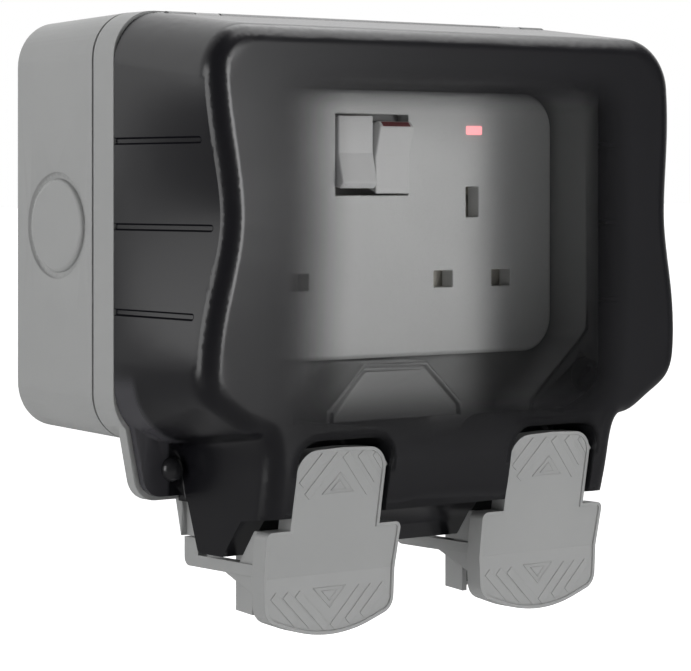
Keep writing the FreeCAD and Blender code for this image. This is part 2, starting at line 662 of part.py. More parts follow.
def fascia():
    """Front plate of the insert with a softened edge, apertures, rocker well and windows."""
    back = d.floor_front
    plate = prism("fascia_plate", [frame_rectangle(d.fascia_half_width, -d.fascia_half_height,
                                                   d.fascia_half_height, d.fascia_corner)],
                  back, d.fascia_thick - d.fascia_edge)
    lip = prism("fascia_lip", [frame_rectangle(d.fascia_half_width, -d.fascia_half_height,
                                               d.fascia_half_height, d.fascia_corner)],
                back + d.fascia_thick - d.fascia_edge, d.fascia_edge, draft=size(-45))
    cuts = [block("rocker_well", (-well_half(), well_half()), (back - 1, back + d.fascia_thick + 1),
                  (d.rocker_z - well_rise(), d.rocker_z + well_rise()))]
    cuts.append(rod("rocker_pin_bore", d.rocker_pin_radius, -(well_half() + 2), d.rocker_axis_out, d.rocker_z,
                    (well_half() + 2) * 2, ACROSS))
    for side in SIDES:
        for pin, (x, z, half_w, half_t) in pin_places(side).items():
            cuts.append(block(f"aperture_{pin}_{side}", (x - half_w, x + half_w),
                              (back - 1, back + d.fascia_thick + 1), (z - half_t, z + half_t)))
        x = side * d.neon_x
        cuts.append(block(f"neon_hole_{side}", (x - d.neon_w / 2, x + d.neon_w / 2),
                          (back - 1, back + d.fascia_thick + 1),
                          (d.neon_z - d.neon_t / 2, d.neon_z + d.neon_t / 2)))
        cuts.append(block(f"neon_seat_{side}", (x - d.neon_w / 2 - d.neon_flange, x + d.neon_w / 2 + d.neon_flange),
                          (back - 1, back + 1.5),
                          (d.neon_z - d.neon_t / 2 - d.neon_flange, d.neon_z + d.neon_t / 2 + d.neon_flange)))
    node("fascia", less("fascia", fused("fascia_solid", plate, lip), *cuts))


def neons():
    """Indicator windows with their lamps behind."""
    back = d.floor_front
    for side in SIDES:
        name = SIDE_NAMES[side]
        x = side * d.neon_x
        window = block(f"neon_window_{name}", (x - d.neon_w / 2, x + d.neon_w / 2),
                       (back + 0.5, back + d.fascia_thick + 0.3),
                       (d.neon_z - d.neon_t / 2, d.neon_z + d.neon_t / 2))
        flange = block(f"neon_flange_{name}",
                       (x - d.neon_w / 2 - d.neon_flange, x + d.neon_w / 2 + d.neon_flange),
                       (back + 0.1, back + 1.5),
                       (d.neon_z - d.neon_t / 2 - d.neon_flange, d.neon_z + d.neon_t / 2 + d.neon_flange))
        node(f"neon_lens_{name}", fused(f"neon_lens_{name}", window, flange))
        lamp = rod(f"neon_tube_{name}", d.neon_lamp_radius, x - 5, neon_lamp_out(), neon_lamp_z(), 10, ACROSS)
        node(f"neon_lamp_{name}", lamp)


def neon_lamp_out():
    return d.chamber_front - 0.2


def neon_lamp_z():
    return d.insert_half_height - d.insert_wall - d.neon_lamp_radius - 0.4


def insert_body():
    """Rear moulding of the insert: rocker well, shutter chambers and contact cells."""
    back = d.floor_front
    mass = block("insert_mass", (-d.insert_half_width, d.insert_half_width), (d.insert_back, back),
                 (-d.insert_half_height, d.insert_half_height))
    cuts = [block("switch_well", (-well_half(), well_half()), (d.contact_back, back + 1),
                  (d.rocker_z - well_rise(), d.insert_half_height - d.insert_wall))]
    cuts.append(block("rocker_room", (-well_half(), well_half()), (d.rocker_back_out - 3, back + 1),
                      (d.rocker_z - well_rise(), d.rocker_z + well_rise())))
    for side in SIDES:
        cuts.append(shutter_room(side))
        for pin, (x, z, half_w, half_t) in pin_places(side).items():
            grow = 0.9
            cuts.append(block(f"cell_{pin}_{side}", (x - half_w - grow, x + half_w + grow),
                              (d.contact_back, back + 1), (z - half_t - grow, z + half_t + grow)))
        x = side * d.neon_x
        cuts.append(block(f"lamp_room_{side}", (x - 5.2, x + 5.2), (neon_lamp_out() - 2.2, back + 1),
                          (neon_lamp_z() - 2.2, neon_lamp_z() + 2.2)))
        cuts.append(rod(f"insert_screw_bore_{side}", d.insert_screw_radius, side * d.insert_screw_x,
                        d.insert_back - 1, 0, 40))
    for pin in ("neutral", "earth"):
        for side in SIDES:
            x, z = pin_places(side)[pin][:2]
            half = d.leg_half + 0.15
            cuts.append(block(f"leg_way_{pin}_{side}", (x - half, x + half), (d.insert_back - 1, d.contact_back + 1),
                              (z - half, z + half)))
    for x, z in terminal_places():
        cuts.append(block(f"terminal_room_{x.value:.0f}_{z.value:.0f}", (x - 4, x + 4),
                          (d.insert_back - 1, d.contact_back + 3), (z - 3.4, z + 3.4)))
    node("insert_body", less("insert_body", mass, *cuts))


def shutter_room(side):
    """Chamber behind the fascia in which a shutter slides down."""
    x = side * d.outlet_x
    half = d.shutter_half_width + 0.3
    low = d.pin_row_z - d.aperture_t / 2 - d.shutter_travel - 1.2
    high = d.pin_row_z + d.earth_rise + 2
    return block(f"shutter_room_{side}", (x - half, x + half), (d.chamber_front, d.floor_front), (low, high))


def shutters():
    """Sliding shutters: a plate over the live and neutral apertures and a ramp under the earth aperture."""
    for side in SIDES:
        name = SIDE_NAMES[side]
        x = side * d.outlet_x
        outs = (d.chamber_front + 0.3, d.chamber_front + 0.3 + d.shutter_thick)
        half = d.shutter_half_width
        rise = d.aperture_t / 2 + 0.5
        plate = block(f"shutter_plate_{name}", (x - half, x + half), outs, (d.pin_row_z - rise, d.pin_row_z + rise))
        stem = block(f"shutter_stem_{name}", (x - 3.6, x + 3.6), outs,
                     (d.pin_row_z, d.pin_row_z + d.earth_rise))
        ramp_top = d.pin_row_z + d.earth_rise
        ramp = prism(f"shutter_ramp_{name}", [[(-outs[0], ramp_top), (-outs[1] - 0.1, ramp_top),
                                              (-outs[0], ramp_top + d.shutter_thick)]],
                     x - d.earth_w / 2 + 0.3, d.earth_w - 0.6, "YZ_Plane")
        node(f"shutter_{name}", fused(f"shutter_{name}", plate, stem, ramp))


def terminal_places():
    """Cable terminals on the back: live in the middle, neutral and earth towards the sides."""
    low = -(d.insert_half_height - 5.5)
    return [(size(0), low), (-d.outlet_x + d.pin_pitch_x + 11.4, low), (d.outlet_x + d.pin_pitch_x + 7.0, low)]


def clip(name, x, z, half_w, half_t):
    """A folded brass clip in one contact cell, open towards the front."""
    gap = 0.35
    outs = (d.contact_back + gap, d.chamber_front - 0.6)
    outer = block(f"{name}_outer", (x - half_w, x + half_w), outs, (z - half_t, z + half_t))
    inner = block(f"{name}_inner", (x - half_w - 1, x + half_w + 1),
                  (d.contact_back + gap + d.clip_strip, d.chamber_front + 5),
                  (z - half_t + d.clip_strip, z + half_t - d.clip_strip))
    return less(name, outer, inner)


def contacts():
    """Brass contacts: a clip for each pin, with strips on the back of the insert."""
    strip_outs = (d.insert_back - 1.2, d.insert_back - 0.2)
    for pin, label in (("neutral", "neutral_bar"), ("earth", "earth_bar")):
        pieces = []
        for side in SIDES:
            x, z, half_w, half_t = pin_places(side)[pin]
            pieces.append(clip(f"{pin}_clip_{side}", x, z, half_w, half_t))
            pieces.append(block(f"{pin}_leg_{side}", (x - d.leg_half, x + d.leg_half),
                                (strip_outs[0], d.contact_back + 0.6), (z - d.leg_half, z + d.leg_half)))
        left = pin_places(-1)[pin]
        right = pin_places(1)[pin]
        pieces.append(block(f"{pin}_strip", (left[0] - 3, right[0] + 3), strip_outs,
                            (left[1] - 2.5, left[1] + 2.5)))
        node(label, fused(label, *pieces))
    for side in SIDES:
        name = SIDE_NAMES[side]
        x, z, half_w, half_t = pin_places(side)["live"]
        node(f"live_clip_{name}", clip(f"live_clip_{name}", x, z, half_w, half_t))


def rocker_profile():
    """Side outline of a rocker, a shallow V in front, in its middle position about the pivot."""
    slope = math.tan(math.radians(float(d.rocker_throw) / 2))
    lift = d.rocker_half_height * slope
    crease = -(d.rocker_crease_out - d.rocker_axis_out)
    back = d.rocker_axis_out - d.rocker_back_out
    high = d.rocker_half_height
    return [(crease, 0), (crease - lift, high), (back, high - 2.4), (back, -(high - 2.4)), (crease - lift, -high)]


def rockers():
    """Two rockers: the left one rests off with its foot proud, the right one on with its head proud."""
    for side in SIDES:
        name = SIDE_NAMES[side]
        slab = prism(f"rocker_slab_{name}", [rocker_profile()], -(d.rocker_w / 2), d.rocker_w, "YZ_Plane")
        nib = block(f"rocker_nib_{name}", (-d.nib_half, d.nib_half),
                    (d.nib_out - d.rocker_axis_out, size(0)), (-d.nib_half, d.nib_half))
        bore = rod(f"rocker_bore_{name}", d.rocker_pin_radius + d.running_clearance, -d.rocker_w, 0, 0,
                   d.rocker_w * 2, ACROSS)
        slope = math.tan(math.radians(float(d.rocker_throw) / 2))
        crease = -(d.rocker_crease_out - d.rocker_axis_out)
        high = d.rocker_half_height
        face = crease - high * slope
        flash_loop = [(face + 0.55, high), (face + 0.55 + d.flash_thick, high),
                      (face + 4.2 + d.flash_thick, high - 2.6 * 0.45), (face + 4.2, high - 2.6 * 0.45)]
        flash = prism(f"flash_slab_{name}", [flash_loop], -(d.rocker_w / 2) + 1.2, d.rocker_w - 2.4, "YZ_Plane")
        solid = less(f"rocker_solid_{name}", fused(f"rocker_mass_{name}", slab, nib), bore, flash)
        tilt = side * float(d.rocker_throw) / 2
        turn = FreeCAD.Rotation(V(1, 0, 0), tilt)
        for label, thing in ((f"rocker_{name}", solid), (f"rocker_flash_{name}", flash_body(name, flash_loop))):
            place(thing, rocker_x(side), d.rocker_axis_out, d.rocker_z, turn)
            node(label, thing)


def flash_body(name, loop):
    return prism(f"flash_{name}", [loop], -(d.rocker_w / 2) + 1.2, d.rocker_w - 2.4, "YZ_Plane")


def switch_parts():
    """Rocker pin, live feed and the rocking contact under each rocker's nib."""
    reach = well_half() + 1.9
    node("rocker_pin", rod("rocker_pin", d.rocker_pin_radius, -reach, d.rocker_axis_out, d.rocker_z,
                           reach * 2, ACROSS))
    posts = []
    for side in SIDES:
        name = SIDE_NAMES[side]
        x = rocker_x(side)
        plate = doc.addObject("Part::Box", f"moving_contact_{name}")
        bind(plate, "Length", 7)
        bind(plate, "Width", d.moving_contact_thick)
        bind(plate, "Height", d.moving_contact_half * 2)
        tilt = -side * float(d.rocker_throw) / 2 * CONTACT_RATIO
        turn = FreeCAD.Rotation(V(1, 0, 0), tilt)
        corner = turn.multVec(V(-3.5, -float(d.moving_contact_thick) / 2, -float(d.moving_contact_half)))
        place(plate, x + corner.x, d.moving_contact_out - corner.y, d.rocker_z + corner.z, turn)
        node(f"moving_contact_{name}", plate)
        fulcrum = d.moving_contact_out - d.moving_contact_thick / 2 - 0.35
        posts.append(block(f"fulcrum_{name}", (x - 3, x + 3), (d.contact_back + 0.2, fulcrum),
                           (d.rocker_z - 0.5, d.rocker_z + 0.5)))
    half = rocker_x(1) + 3
    posts.append(block("feed_strip", (-half, half), (d.contact_back + 0.2, d.contact_back + 1.2),
                       (d.rocker_z - 3, d.rocker_z + 3)))
    node("live_feed_bar", fused("live_feed_bar", *posts))


CONTACT_RATIO = 0.8


def fasteners():
    """Terminal screws on the back of the insert and the screws that hold it in the frame."""
    screws = []
    for number, (x, z) in enumerate(terminal_places()):
        head = rod(f"terminal_head_{number}", d.terminal_radius, x, d.insert_back + 0.6, z, 2.2)
        shank = rod(f"terminal_shank_{number}", d.terminal_radius * 0.6, x, d.insert_back + 2, z,
                    d.contact_back + 3 - d.insert_back - 2)
        slot = block(f"terminal_slot_{number}", (x - 4, x + 4), (d.insert_back, d.insert_back + 1.3),
                     (z - 0.4, z + 0.4))
        screws.append(less(f"terminal_screw_{number}", fused(f"terminal_solid_{number}", head, shank), slot))
    compound = doc.addObject("Part::Compound", "terminal_screws")
    compound.Links = screws
    node("terminal_screws", compound)
    screws = []
    for side in SIDES:
        x = side * d.insert_screw_x
        head = rod(f"insert_head_{side}", d.insert_screw_radius * 2, x, d.insert_back - 2, 0, 2)
        shank = rod(f"insert_shank_{side}", d.insert_screw_radius, x, d.insert_back - 0.5, 0,
                    d.floor_front - d.insert_back)
        screws.append(fused(f"insert_screw_{side}", head, shank))
    compound = doc.addObject("Part::Compound", "insert_screws")
    compound.Links = screws
    node("insert_screws", compound)


def smooth(points, start=None, end=None):
    """A spline through points, with given directions at its ends where they matter."""
    curve = Part.BSplineCurve()
    if start is None:
        curve.interpolate(points)
    else:
        curve.interpolate(Points=points, InitialTangent=start, FinalTangent=end)
    return curve.toShape()


def moved_in(points, inset):
    """Points of the lid's right-hand outline, read downwards, moved inwards along its normal."""
    moved = [points[0] + V(-inset, 0, 0)]
    for before, point, after in zip(points, points[1:], points[2:]):
        along = (after - before).normalize()
        moved.append(point + V(along.z, 0, -along.x) * inset)
    return moved + [points[-1] + V(-inset, 0, 0)]


def between(at_back, at_front, share):
    return at_back + (at_front - at_back) * share


def lid_section(out, inset):
    """The lid's outline at one distance from the wall, waisted towards the front, inside a wall."""
    back = float(d.band_front + d.lid_gap)
    share = (out - back) / (float(d.lid_front) - back)
    corner = float(d.lid_corner) - inset
    top = between(float(d.lid_top_back), float(d.lid_top_front), share) - inset
    half = float(d.box_half_width)
    shoulder = between(half, float(d.lid_shoulder), share)
    waist = between(half, float(d.lid_waist), share)
    hip = between(half, float(d.lid_hip), share)
    hip_z = -float(d.lid_hip_z)
    foot = -float(d.box_half_height)
    skirt = (float(d.lid_skirt_x), -float(d.lid_skirt_z))
    low_back = [(half, hip_z), (half - 2.2, foot + 7.8), (half - 9.4, foot + 1.2), (half - 17.5, foot - 1.2), skirt]
    front = float(d.lid_hip)
    low_front = [(front, hip_z), (front - 3.4, hip_z - 9.6), (front - 11.6, hip_z - 14.3),
                 (front - 19.0, hip_z - 18.0), skirt]
    low = [V(between(b[0], f[0], share), -out, between(b[1], f[1], share)) for b, f in zip(low_back, low_front)]
    sides = [V(shoulder - inset, -out, top - corner), V(waist - inset, -out, 0), V(hip - inset, -out, hip_z)]
    low = moved_in(low, inset)
    down = V(0, 0, -1)
    first = sides[0]
    top_end = V(first.x - corner, -out, top)
    bend = V(first.x - corner + corner * math.sin(math.pi / 4), -out, top - corner + corner * math.cos(math.pi / 4))
    ankle = V(float(d.lid_skirt_end_x) - inset, -out, -float(d.lid_bottom) - 6)
    right = [Part.Arc(top_end, bend, first).toShape(), smooth(sides, down, down), smooth(low, down, down),
             Part.LineSegment(low[-1], ankle).toShape()]
    left = [edge.mirror(V(0, 0, 0), V(1, 0, 0)) for edge in reversed(right)]
    top_edge = Part.LineSegment(V(-top_end.x, -out, top), top_end).toShape()
    bottom_edge = Part.LineSegment(ankle, V(-ankle.x, -out, ankle.z)).toShape()
    return Part.Wire(Part.__sortEdges__([top_edge, *right, bottom_edge, *left]))


def lid_profile(inset):
    """The lid from the side: bulged front, stepped underside and, for the outer form, the open back."""
    front = -float(d.lid_front) + inset
    bulge = float(d.lid_bulge)
    back = -float(d.band_front + d.lid_gap)
    top = float(d.lid_top_back)
    tall = top + float(d.lid_bottom)
    above = top + 10
    bottom = -float(d.lid_bottom) + inset
    step = -float(d.ear_bottom) - 0.5
    shift = 0.46 * inset
    head = V(0, front + 1.0, above)
    nose = V(0, front + 3.8, bottom + 11.5)
    swell = ((0.055, 0.1), (0.205, 0.65), (0.384, 1.0), (0.634, 0.47), (0.842, -0.36))
    face = smooth([head] + [V(0, front - bulge * part, top - tall * down) for down, part in swell] + [nose])
    points = [nose, V(0, -76.7 + shift, bottom + 10.3), V(0, -68.0 + shift, bottom)]
    if inset:
        points += [V(0, back + 20, bottom), V(0, back + 20, above), head]
    else:
        points += [V(0, -57.0, bottom), V(0, -56.5, bottom + 1.0), V(0, back - 4.2, step), V(0, back, step),
                   V(0, back, above), head]
    edges = [face] + [Part.LineSegment(a, b).toShape() for a, b in zip(points, points[1:])]
    return Part.Face(Part.Wire(Part.__sortEdges__(edges)))


def lid_form(inset):
    """The lid's form inside a wall: its lofted outline cut to its side profile."""
    start = float(d.band_front + d.lid_gap) - (10 if inset else 0)
    loft = Part.makeLoft([lid_section(start, inset), lid_section(float(d.lid_front) + 8, inset)], True, True)
    profile = lid_profile(inset)
    profile.translate(V(-100, 0, 0))
    form = loft.common(profile.extrude(V(200, 0, 0)))
    radius = float(d.lid_edge_round) - inset
    return form.makeFillet(radius, [edge for edge in form.Edges if on_front_rim(edge)])


def on_front_rim(edge):
    """True on the edges round the bulged front, the lower one left out."""
    middle = edge.CenterOfMass
    box = edge.BoundBox
    return box.YMax < -float(d.lid_front) + 9 and middle.z > 14 - float(d.lid_bottom)


def solid_block(x, out, z):
    """A plain box between two X values, two distances from the wall and two heights."""
    low = V(float(x[0]), -float(out[1]), float(z[0]))
    return Part.makeBox(float(x[1]) - low.x, float(out[1]) - float(out[0]), float(z[1]) - low.z, low)


def solid_rod(radius, x, out, z, length):
    return Part.makeCylinder(float(radius), float(length), V(float(x), -float(out), float(z)), V(1, 0, 0))


def pocket_form(side, grow):
    """The notch for a latch in the lid's front, or the thicker form that becomes its walls."""
    x = float(side * d.outlet_x)
    half = float(d.pocket_half) + grow
    top = -float(d.pocket_top) + grow
    corner = float(d.pocket_corner) + grow
    back = float(d.pocket_out) - grow
    notch = solid_block((x - half, x + half), (back, d.lid_front + 10), (-d.lid_bottom - 10, top))
    return notch.makeFillet(corner, [e for e in notch.Edges if upper_corner(e, x, top)])


def upper_corner(edge, x, top):
    """True on the two top edges of a latch notch that run away from the wall."""
    middle = edge.CenterOfMass
    return edge.BoundBox.YLength > 10 and abs(middle.z - top) < 0.01 and abs(middle.x - x) > 1


def side_grooves(form_inside):
    """Three shallow slots on each side of the lid, from its back edge forwards."""
    grooves = []
    half = float(d.groove_width) / 2
    for row, extra in ((-1, 0.0), (0, 2.6), (1, 0.0)):
        z = row * float(d.groove_pitch)
        end = float(d.groove_reach) + extra
        slot = solid_block((-100, 100), (d.band_front, end), (z - half, z + half))
        grooves.append(slot.fuse(solid_rod(half, -100, end, z, 200)))
    return grooves[0].multiFuse(grooves[1:]).cut(form_inside)


def lid():
    """Smoked lid shell: barrel hinge along its top, latch notches, side grooves, lock ears."""
    wall = float(d.lid_wall)
    outer = lid_form(0)
    inner = lid_form(wall)
    ears = lid_ears()
    doc.recompute()
    ears = [ear.Shape for ear in ears]
    notch_walls = [pocket_form(side, wall).common(outer) for side in SIDES]
    shell = outer.multiFuse(ears).cut(inner).multiFuse(notch_walls)
    axis_out = float(d.hinge_out)
    axis_z = float(d.hinge_z)
    radius = float(d.lid_top_back) - axis_z
    half = float(d.box_half_width - d.lid_corner)
    barrel = solid_rod(radius, -half, axis_out, axis_z, 2 * half)
    corner = solid_block((-100, 100), (d.band_front, axis_out), (axis_z, d.lid_top_back + 5))
    cuts = [corner.cut(solid_rod(radius, -100, axis_out, axis_z, 200)), side_grooves(lid_form(float(d.groove_depth)))]
    for side in SIDES:
        x = side * float(d.outlet_x)
        cuts.append(pocket_form(side, 0))
        reach = float(d.spout_half_width) + 3
        cuts.append(solid_block((x - reach, x + reach), (d.band_front, d.pocket_out - d.lid_wall),
                                (-d.lid_bottom - 3, -d.lid_bottom + 4)))
        cuts.append(solid_rod(d.latch_pin_radius, x - latch_pin_reach(), d.latch_pivot_out, -d.latch_pivot_z,
                              2 * latch_pin_reach()))
        knuckle_x = side * float(d.knuckle_x)
        room = float(d.knuckle_width) / 2 + float(d.knuckle_gap)
        cuts.append(solid_block((knuckle_x - room, knuckle_x + room), (d.band_front - 1, axis_out + radius + 0.5),
                                (axis_z - radius - 0.8, d.lid_top_back + 5)))
        pin_half = float(d.hinge_pin_length) / 2 + 0.3
        cuts.append(solid_rod(d.hinge_pin_radius + d.running_clearance, knuckle_x - pin_half, axis_out, axis_z,
                              2 * pin_half))
        cuts.append(Part.makeCylinder(float(d.ear_hole_radius), 20,
                                      V(side * float(d.ear_hole_x), -60, -float(d.ear_hole_z)), V(0, 1, 0)))
    whole = shell.fuse(barrel).cut(cuts[0].multiFuse(cuts[1:]))
    feature = doc.addObject("Part::Feature", "lid")
    feature.Shape = whole.removeSplitter()
    node("lid", feature)


def lid_ears():
    """Two lugs at the lower corners that lie over the lugs of the frame."""
    return [prism(f"lid_ear_{SIDE_NAMES[s]}", [ear_outline(s, d.ear_inset)], d.band_front + d.lid_gap, d.ear_thick)
            for s in SIDES]


def latch_pin_reach():
    """Half the length of a latch pin, held in both walls of its notch."""
    return float(d.pocket_half + d.lid_wall) - 0.6


def pins():
    """Hinge pins of the lid, pivot pins of the latches and the domed plugs of the lock holes."""
    for side in SIDES:
        name = SIDE_NAMES[side]
        half = d.hinge_pin_length / 2
        node(f"hinge_pin_{name}", rod(f"hinge_pin_{name}", d.hinge_pin_radius, side * d.knuckle_x - half,
                                      d.hinge_out, d.hinge_z, d.hinge_pin_length, ACROSS))
        reach = d.pocket_half + d.lid_wall - 0.6
        node(f"latch_pin_{name}", rod(f"latch_pin_{name}", d.latch_pin_radius, side * d.outlet_x - reach,
                                      d.latch_pivot_out, -d.latch_pivot_z, reach * 2, ACROSS))
        face = d.band_front + d.lid_gap + d.ear_thick
        x = side * d.ear_hole_x
        shank = rod(f"plug_shank_{name}", d.ear_hole_radius, x, face - d.ear_thick, -d.ear_hole_z, d.ear_thick)
        column = rod(f"plug_column_{name}", d.ear_hole_radius, x, face - 0.5, -d.ear_hole_z, 5)
        ball = doc.addObject("Part::Sphere", f"plug_ball_{name}")
        ball_radius = (d.ear_hole_radius * d.ear_hole_radius / d.plug_proud + d.plug_proud) / 2
        bind(ball, "Radius", ball_radius)
        place(ball, x, face + d.plug_proud - ball_radius, -d.ear_hole_z)
        node(f"lock_plug_{name}", fused(f"lock_plug_{name}", shank, shared(f"plug_dome_{name}", column, ball)))


def latch_face(z):
    """Distance from the wall of a latch's face: leaning back as far as the crease, then upright."""
    lean = math.tan(math.radians(float(d.latch_tilt)))
    return d.plate_face_out - (z - d.neck_top) * lean


def paddle_side(front, back):
    """Side outline of a paddle between two depths behind its face."""
    top = d.neck_top - 4
    foot = d.foot_apex + 4
    marks = ((top, latch_face(top)), (d.crease_z, latch_face(d.crease_z)), (foot, latch_face(d.crease_z)))
    return [(front - out, -z) for z, out in marks] + [(back - out, -z) for z, out in reversed(marks)]


def paddle_outline(x, inset=0):
    """A paddle from the front: arched neck, square shoulders, tapering plate and bowed foot."""
    neck = d.neck_half - inset
    shoulder = -(d.shoulder_z + inset)
    right = [(d.foot_half - inset, 0.6 * inset - d.foot_z, d.foot_round - inset),
             (d.plate_half - inset, shoulder, d.shoulder_round - 0.9 * inset), (neck, shoulder),
             (neck, -(d.neck_top + inset), d.neck_corner - inset)]
    left = [(-c[0], *c[1:]) for c in reversed(right)]
    loop = [(size(0), inset - d.foot_apex, d.foot_bow - inset), *right,
            (size(0), d.neck_rise - d.neck_top - inset, d.foot_bow), *left]
    return [(x + c[0], *c[1:]) for c in loop]


def paddle(name, x, inset, front, back):
    """The form of a paddle, or of the hollow behind it: its side outline within its front outline."""
    side = prism(f"{name}_side", [paddle_side(front, back)], x - d.plate_half - 1, d.plate_half * 2 + 2, "YZ_Plane")
    start = latch_face(d.foot_apex) - d.tray_depth * 2
    sheet_form = prism(f"{name}_front", [paddle_outline(x, inset)], start, d.plate_face_out + 4 - start)
    return shared(name, side, sheet_form)


def latches():
    """Two paddles: a tray hollow from behind, pivot lugs, two braced arms and their hooks."""
    radius = d.latch_pin_radius
    arm_low = -(d.arm_top + d.arm_thick)
    back = latch_face(d.crease_z) - d.tray_depth
    arm = [(-d.arm_reach, -(d.skirt_bottom + d.hook_gap)), (-d.arm_reach, arm_low, d.arm_round),
           (-(back + 1), arm_low), (-(back + 1), -d.arm_top), (-d.hook_front, -d.arm_top),
           (-d.hook_front, -(d.skirt_bottom + d.hook_gap))]
    web = [(-(d.arm_reach + 17.7), arm_low), (-(back + 0.5), arm_low - 5.6), (-(back + 2.5), arm_low - 5.6),
           (-(back + 3.6), -(d.shoulder_z + 0.3)), (-(back - 0.7), -(d.shoulder_z + 0.3)),
           (-(back - 7.4), -d.arm_top)]
    for side in SIDES:
        name = SIDE_NAMES[side]
        x = side * d.outlet_x
        mass = paddle(f"tray_mass_{name}", x, size(0), size(0), d.tray_depth)
        room = paddle(f"tray_room_{name}", x, d.tray_wall, d.plate_thick, d.tray_depth + 1)
        pieces = [less(f"tray_{name}", mass, room)]
        for end in SIDES:
            lug = (x + d.neck_half - d.lug_thick, x + d.neck_half)
            reach = (x + d.foot_half - d.arm_side - d.arm_width, x + d.foot_half - d.arm_side)
            web_start = reach[1] - 2.2
            if end < 0:
                lug = (x - d.neck_half, x - d.neck_half + d.lug_thick)
                reach = (x - d.foot_half + d.arm_side, x - d.foot_half + d.arm_side + d.arm_width)
                web_start = reach[0] + 0.6
            tag = f"{name}_{end}"
            pieces.append(rod(f"lug_{tag}", radius * 2, lug[0], d.latch_pivot_out, -d.latch_pivot_z,
                              d.lug_thick, ACROSS))
            pieces.append(block(f"lug_root_{tag}", lug,
                                (d.latch_pivot_out, latch_face(d.latch_pivot_z + 2 * radius) - 0.5),
                                (-d.latch_pivot_z - 2 * radius, 2 * radius - d.latch_pivot_z)))
            pieces.append(prism(f"arm_{tag}", [arm], reach[0], d.arm_width, "YZ_Plane"))
            pieces.append(prism(f"web_{tag}", [web], web_start, d.web_thick, "YZ_Plane"))
        solid = fused(f"latch_solid_{name}", *pieces)
        bore = rod(f"latch_bore_{name}", radius + d.running_clearance, x - d.plate_half, d.latch_pivot_out,
                   -d.latch_pivot_z, d.plate_half * 2, ACROSS)
        node(f"latch_{name}", less(f"latch_{name}", solid, bore))


def main():
    back_box()
    box_seal()
    frame()
    grommets()
    frame_screws()
    lid_seal()
    fascia()
    neons()
    insert_body()
    shutters()
    contacts()
    rockers()
    switch_parts()
    fasteners()
    lid()
    pins()
    latches()
    doc.recompute()


main()


def check_and_write():
    """Stops on any failed feature or bad solid, then writes one file for each piece."""
    for thing in doc.Objects:
        if "Invalid" in thing.State or "Error" in thing.State:
            raise RuntimeError(f"{thing.Name} failed: {thing.State}")
    os.makedirs("parts", exist_ok=True)
    for label, thing in NODES.items():
        shape = thing.Shape
        if shape.isNull() or not shape.isValid():
            raise RuntimeError(f"{label} has no valid shape")
        shape.exportStep(f"parts/{label}.step")
        print(label, len(shape.Solids), round(shape.Volume, 1))


check_and_write()
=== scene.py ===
# Weatherproof twin switched socket, dressed in the order in which it is put together:
# back box, frame and its screws, cable outlets, insert with its switches, lid, latches.
import json
import math

import bmesh
import bpy
from mathutils import Matrix, Vector

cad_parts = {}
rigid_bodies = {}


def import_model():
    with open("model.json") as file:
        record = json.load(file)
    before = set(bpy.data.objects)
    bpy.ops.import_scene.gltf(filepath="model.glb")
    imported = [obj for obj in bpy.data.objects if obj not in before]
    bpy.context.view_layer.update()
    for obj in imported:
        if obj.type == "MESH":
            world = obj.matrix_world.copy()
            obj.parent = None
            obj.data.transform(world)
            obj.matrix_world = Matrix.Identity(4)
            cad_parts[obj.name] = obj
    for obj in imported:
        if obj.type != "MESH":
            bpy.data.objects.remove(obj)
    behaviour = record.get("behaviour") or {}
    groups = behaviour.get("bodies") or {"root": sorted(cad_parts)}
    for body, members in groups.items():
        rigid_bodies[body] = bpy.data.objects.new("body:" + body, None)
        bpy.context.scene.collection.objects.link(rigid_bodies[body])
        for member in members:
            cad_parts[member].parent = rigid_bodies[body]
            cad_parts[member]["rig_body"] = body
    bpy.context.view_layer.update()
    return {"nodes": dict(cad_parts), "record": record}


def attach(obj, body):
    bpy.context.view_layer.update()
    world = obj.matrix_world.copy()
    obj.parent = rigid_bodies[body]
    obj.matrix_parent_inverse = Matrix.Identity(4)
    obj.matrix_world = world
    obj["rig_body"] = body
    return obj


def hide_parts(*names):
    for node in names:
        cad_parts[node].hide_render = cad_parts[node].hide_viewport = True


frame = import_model()


# Back box: the deep grey housing that is screwed to the wall, injection moulded in
# polycarbonate with a fine spark-eroded skin. Its edges carry the small radius of the mould.
MM = 0.001
BOX_EDGE = 0.45 * MM
FINE_EDGE = 0.2 * MM
WELD = 0.004 * MM
FLAT = math.radians(0.4)
SHARP = 30
GREY = (0.335, 0.338, 0.336)
GREY_SHADE = (0.318, 0.322, 0.32)


def add(tree, kind, **values):
    """A node of that kind, with its properties and its inputs set by name."""
    item = tree.nodes.new(kind)
    for name, value in values.items():
        if hasattr(item, name):
            setattr(item, name, value)
        else:
            item.inputs[name.replace("_", " ")].default_value = value
    return item


def new_finish(name, colour, roughness):
    """A named finish: its material, its tree and its shader, ready for what varies over it."""
    finish = bpy.data.materials.new(name)
    finish.use_nodes = True
    tree = finish.node_tree
    shader = tree.nodes["Principled BSDF"]
    shader.inputs["Base Color"].default_value = (*colour, 1)
    shader.inputs["Roughness"].default_value = roughness
    return finish, tree, shader


def object_pattern(tree, kind, stretch=(1, 1, 1), **values):
    """A texture laid through the piece in its own coordinates, stretched along its axes."""
    place = add(tree, "ShaderNodeTexCoord")
    turn = add(tree, "ShaderNodeMapping", Scale=stretch)
    tree.links.new(place.outputs["Object"], turn.inputs["Vector"])
    pattern = add(tree, kind, **values)
    tree.links.new(turn.outputs["Vector"], pattern.inputs["Vector"])
    return pattern


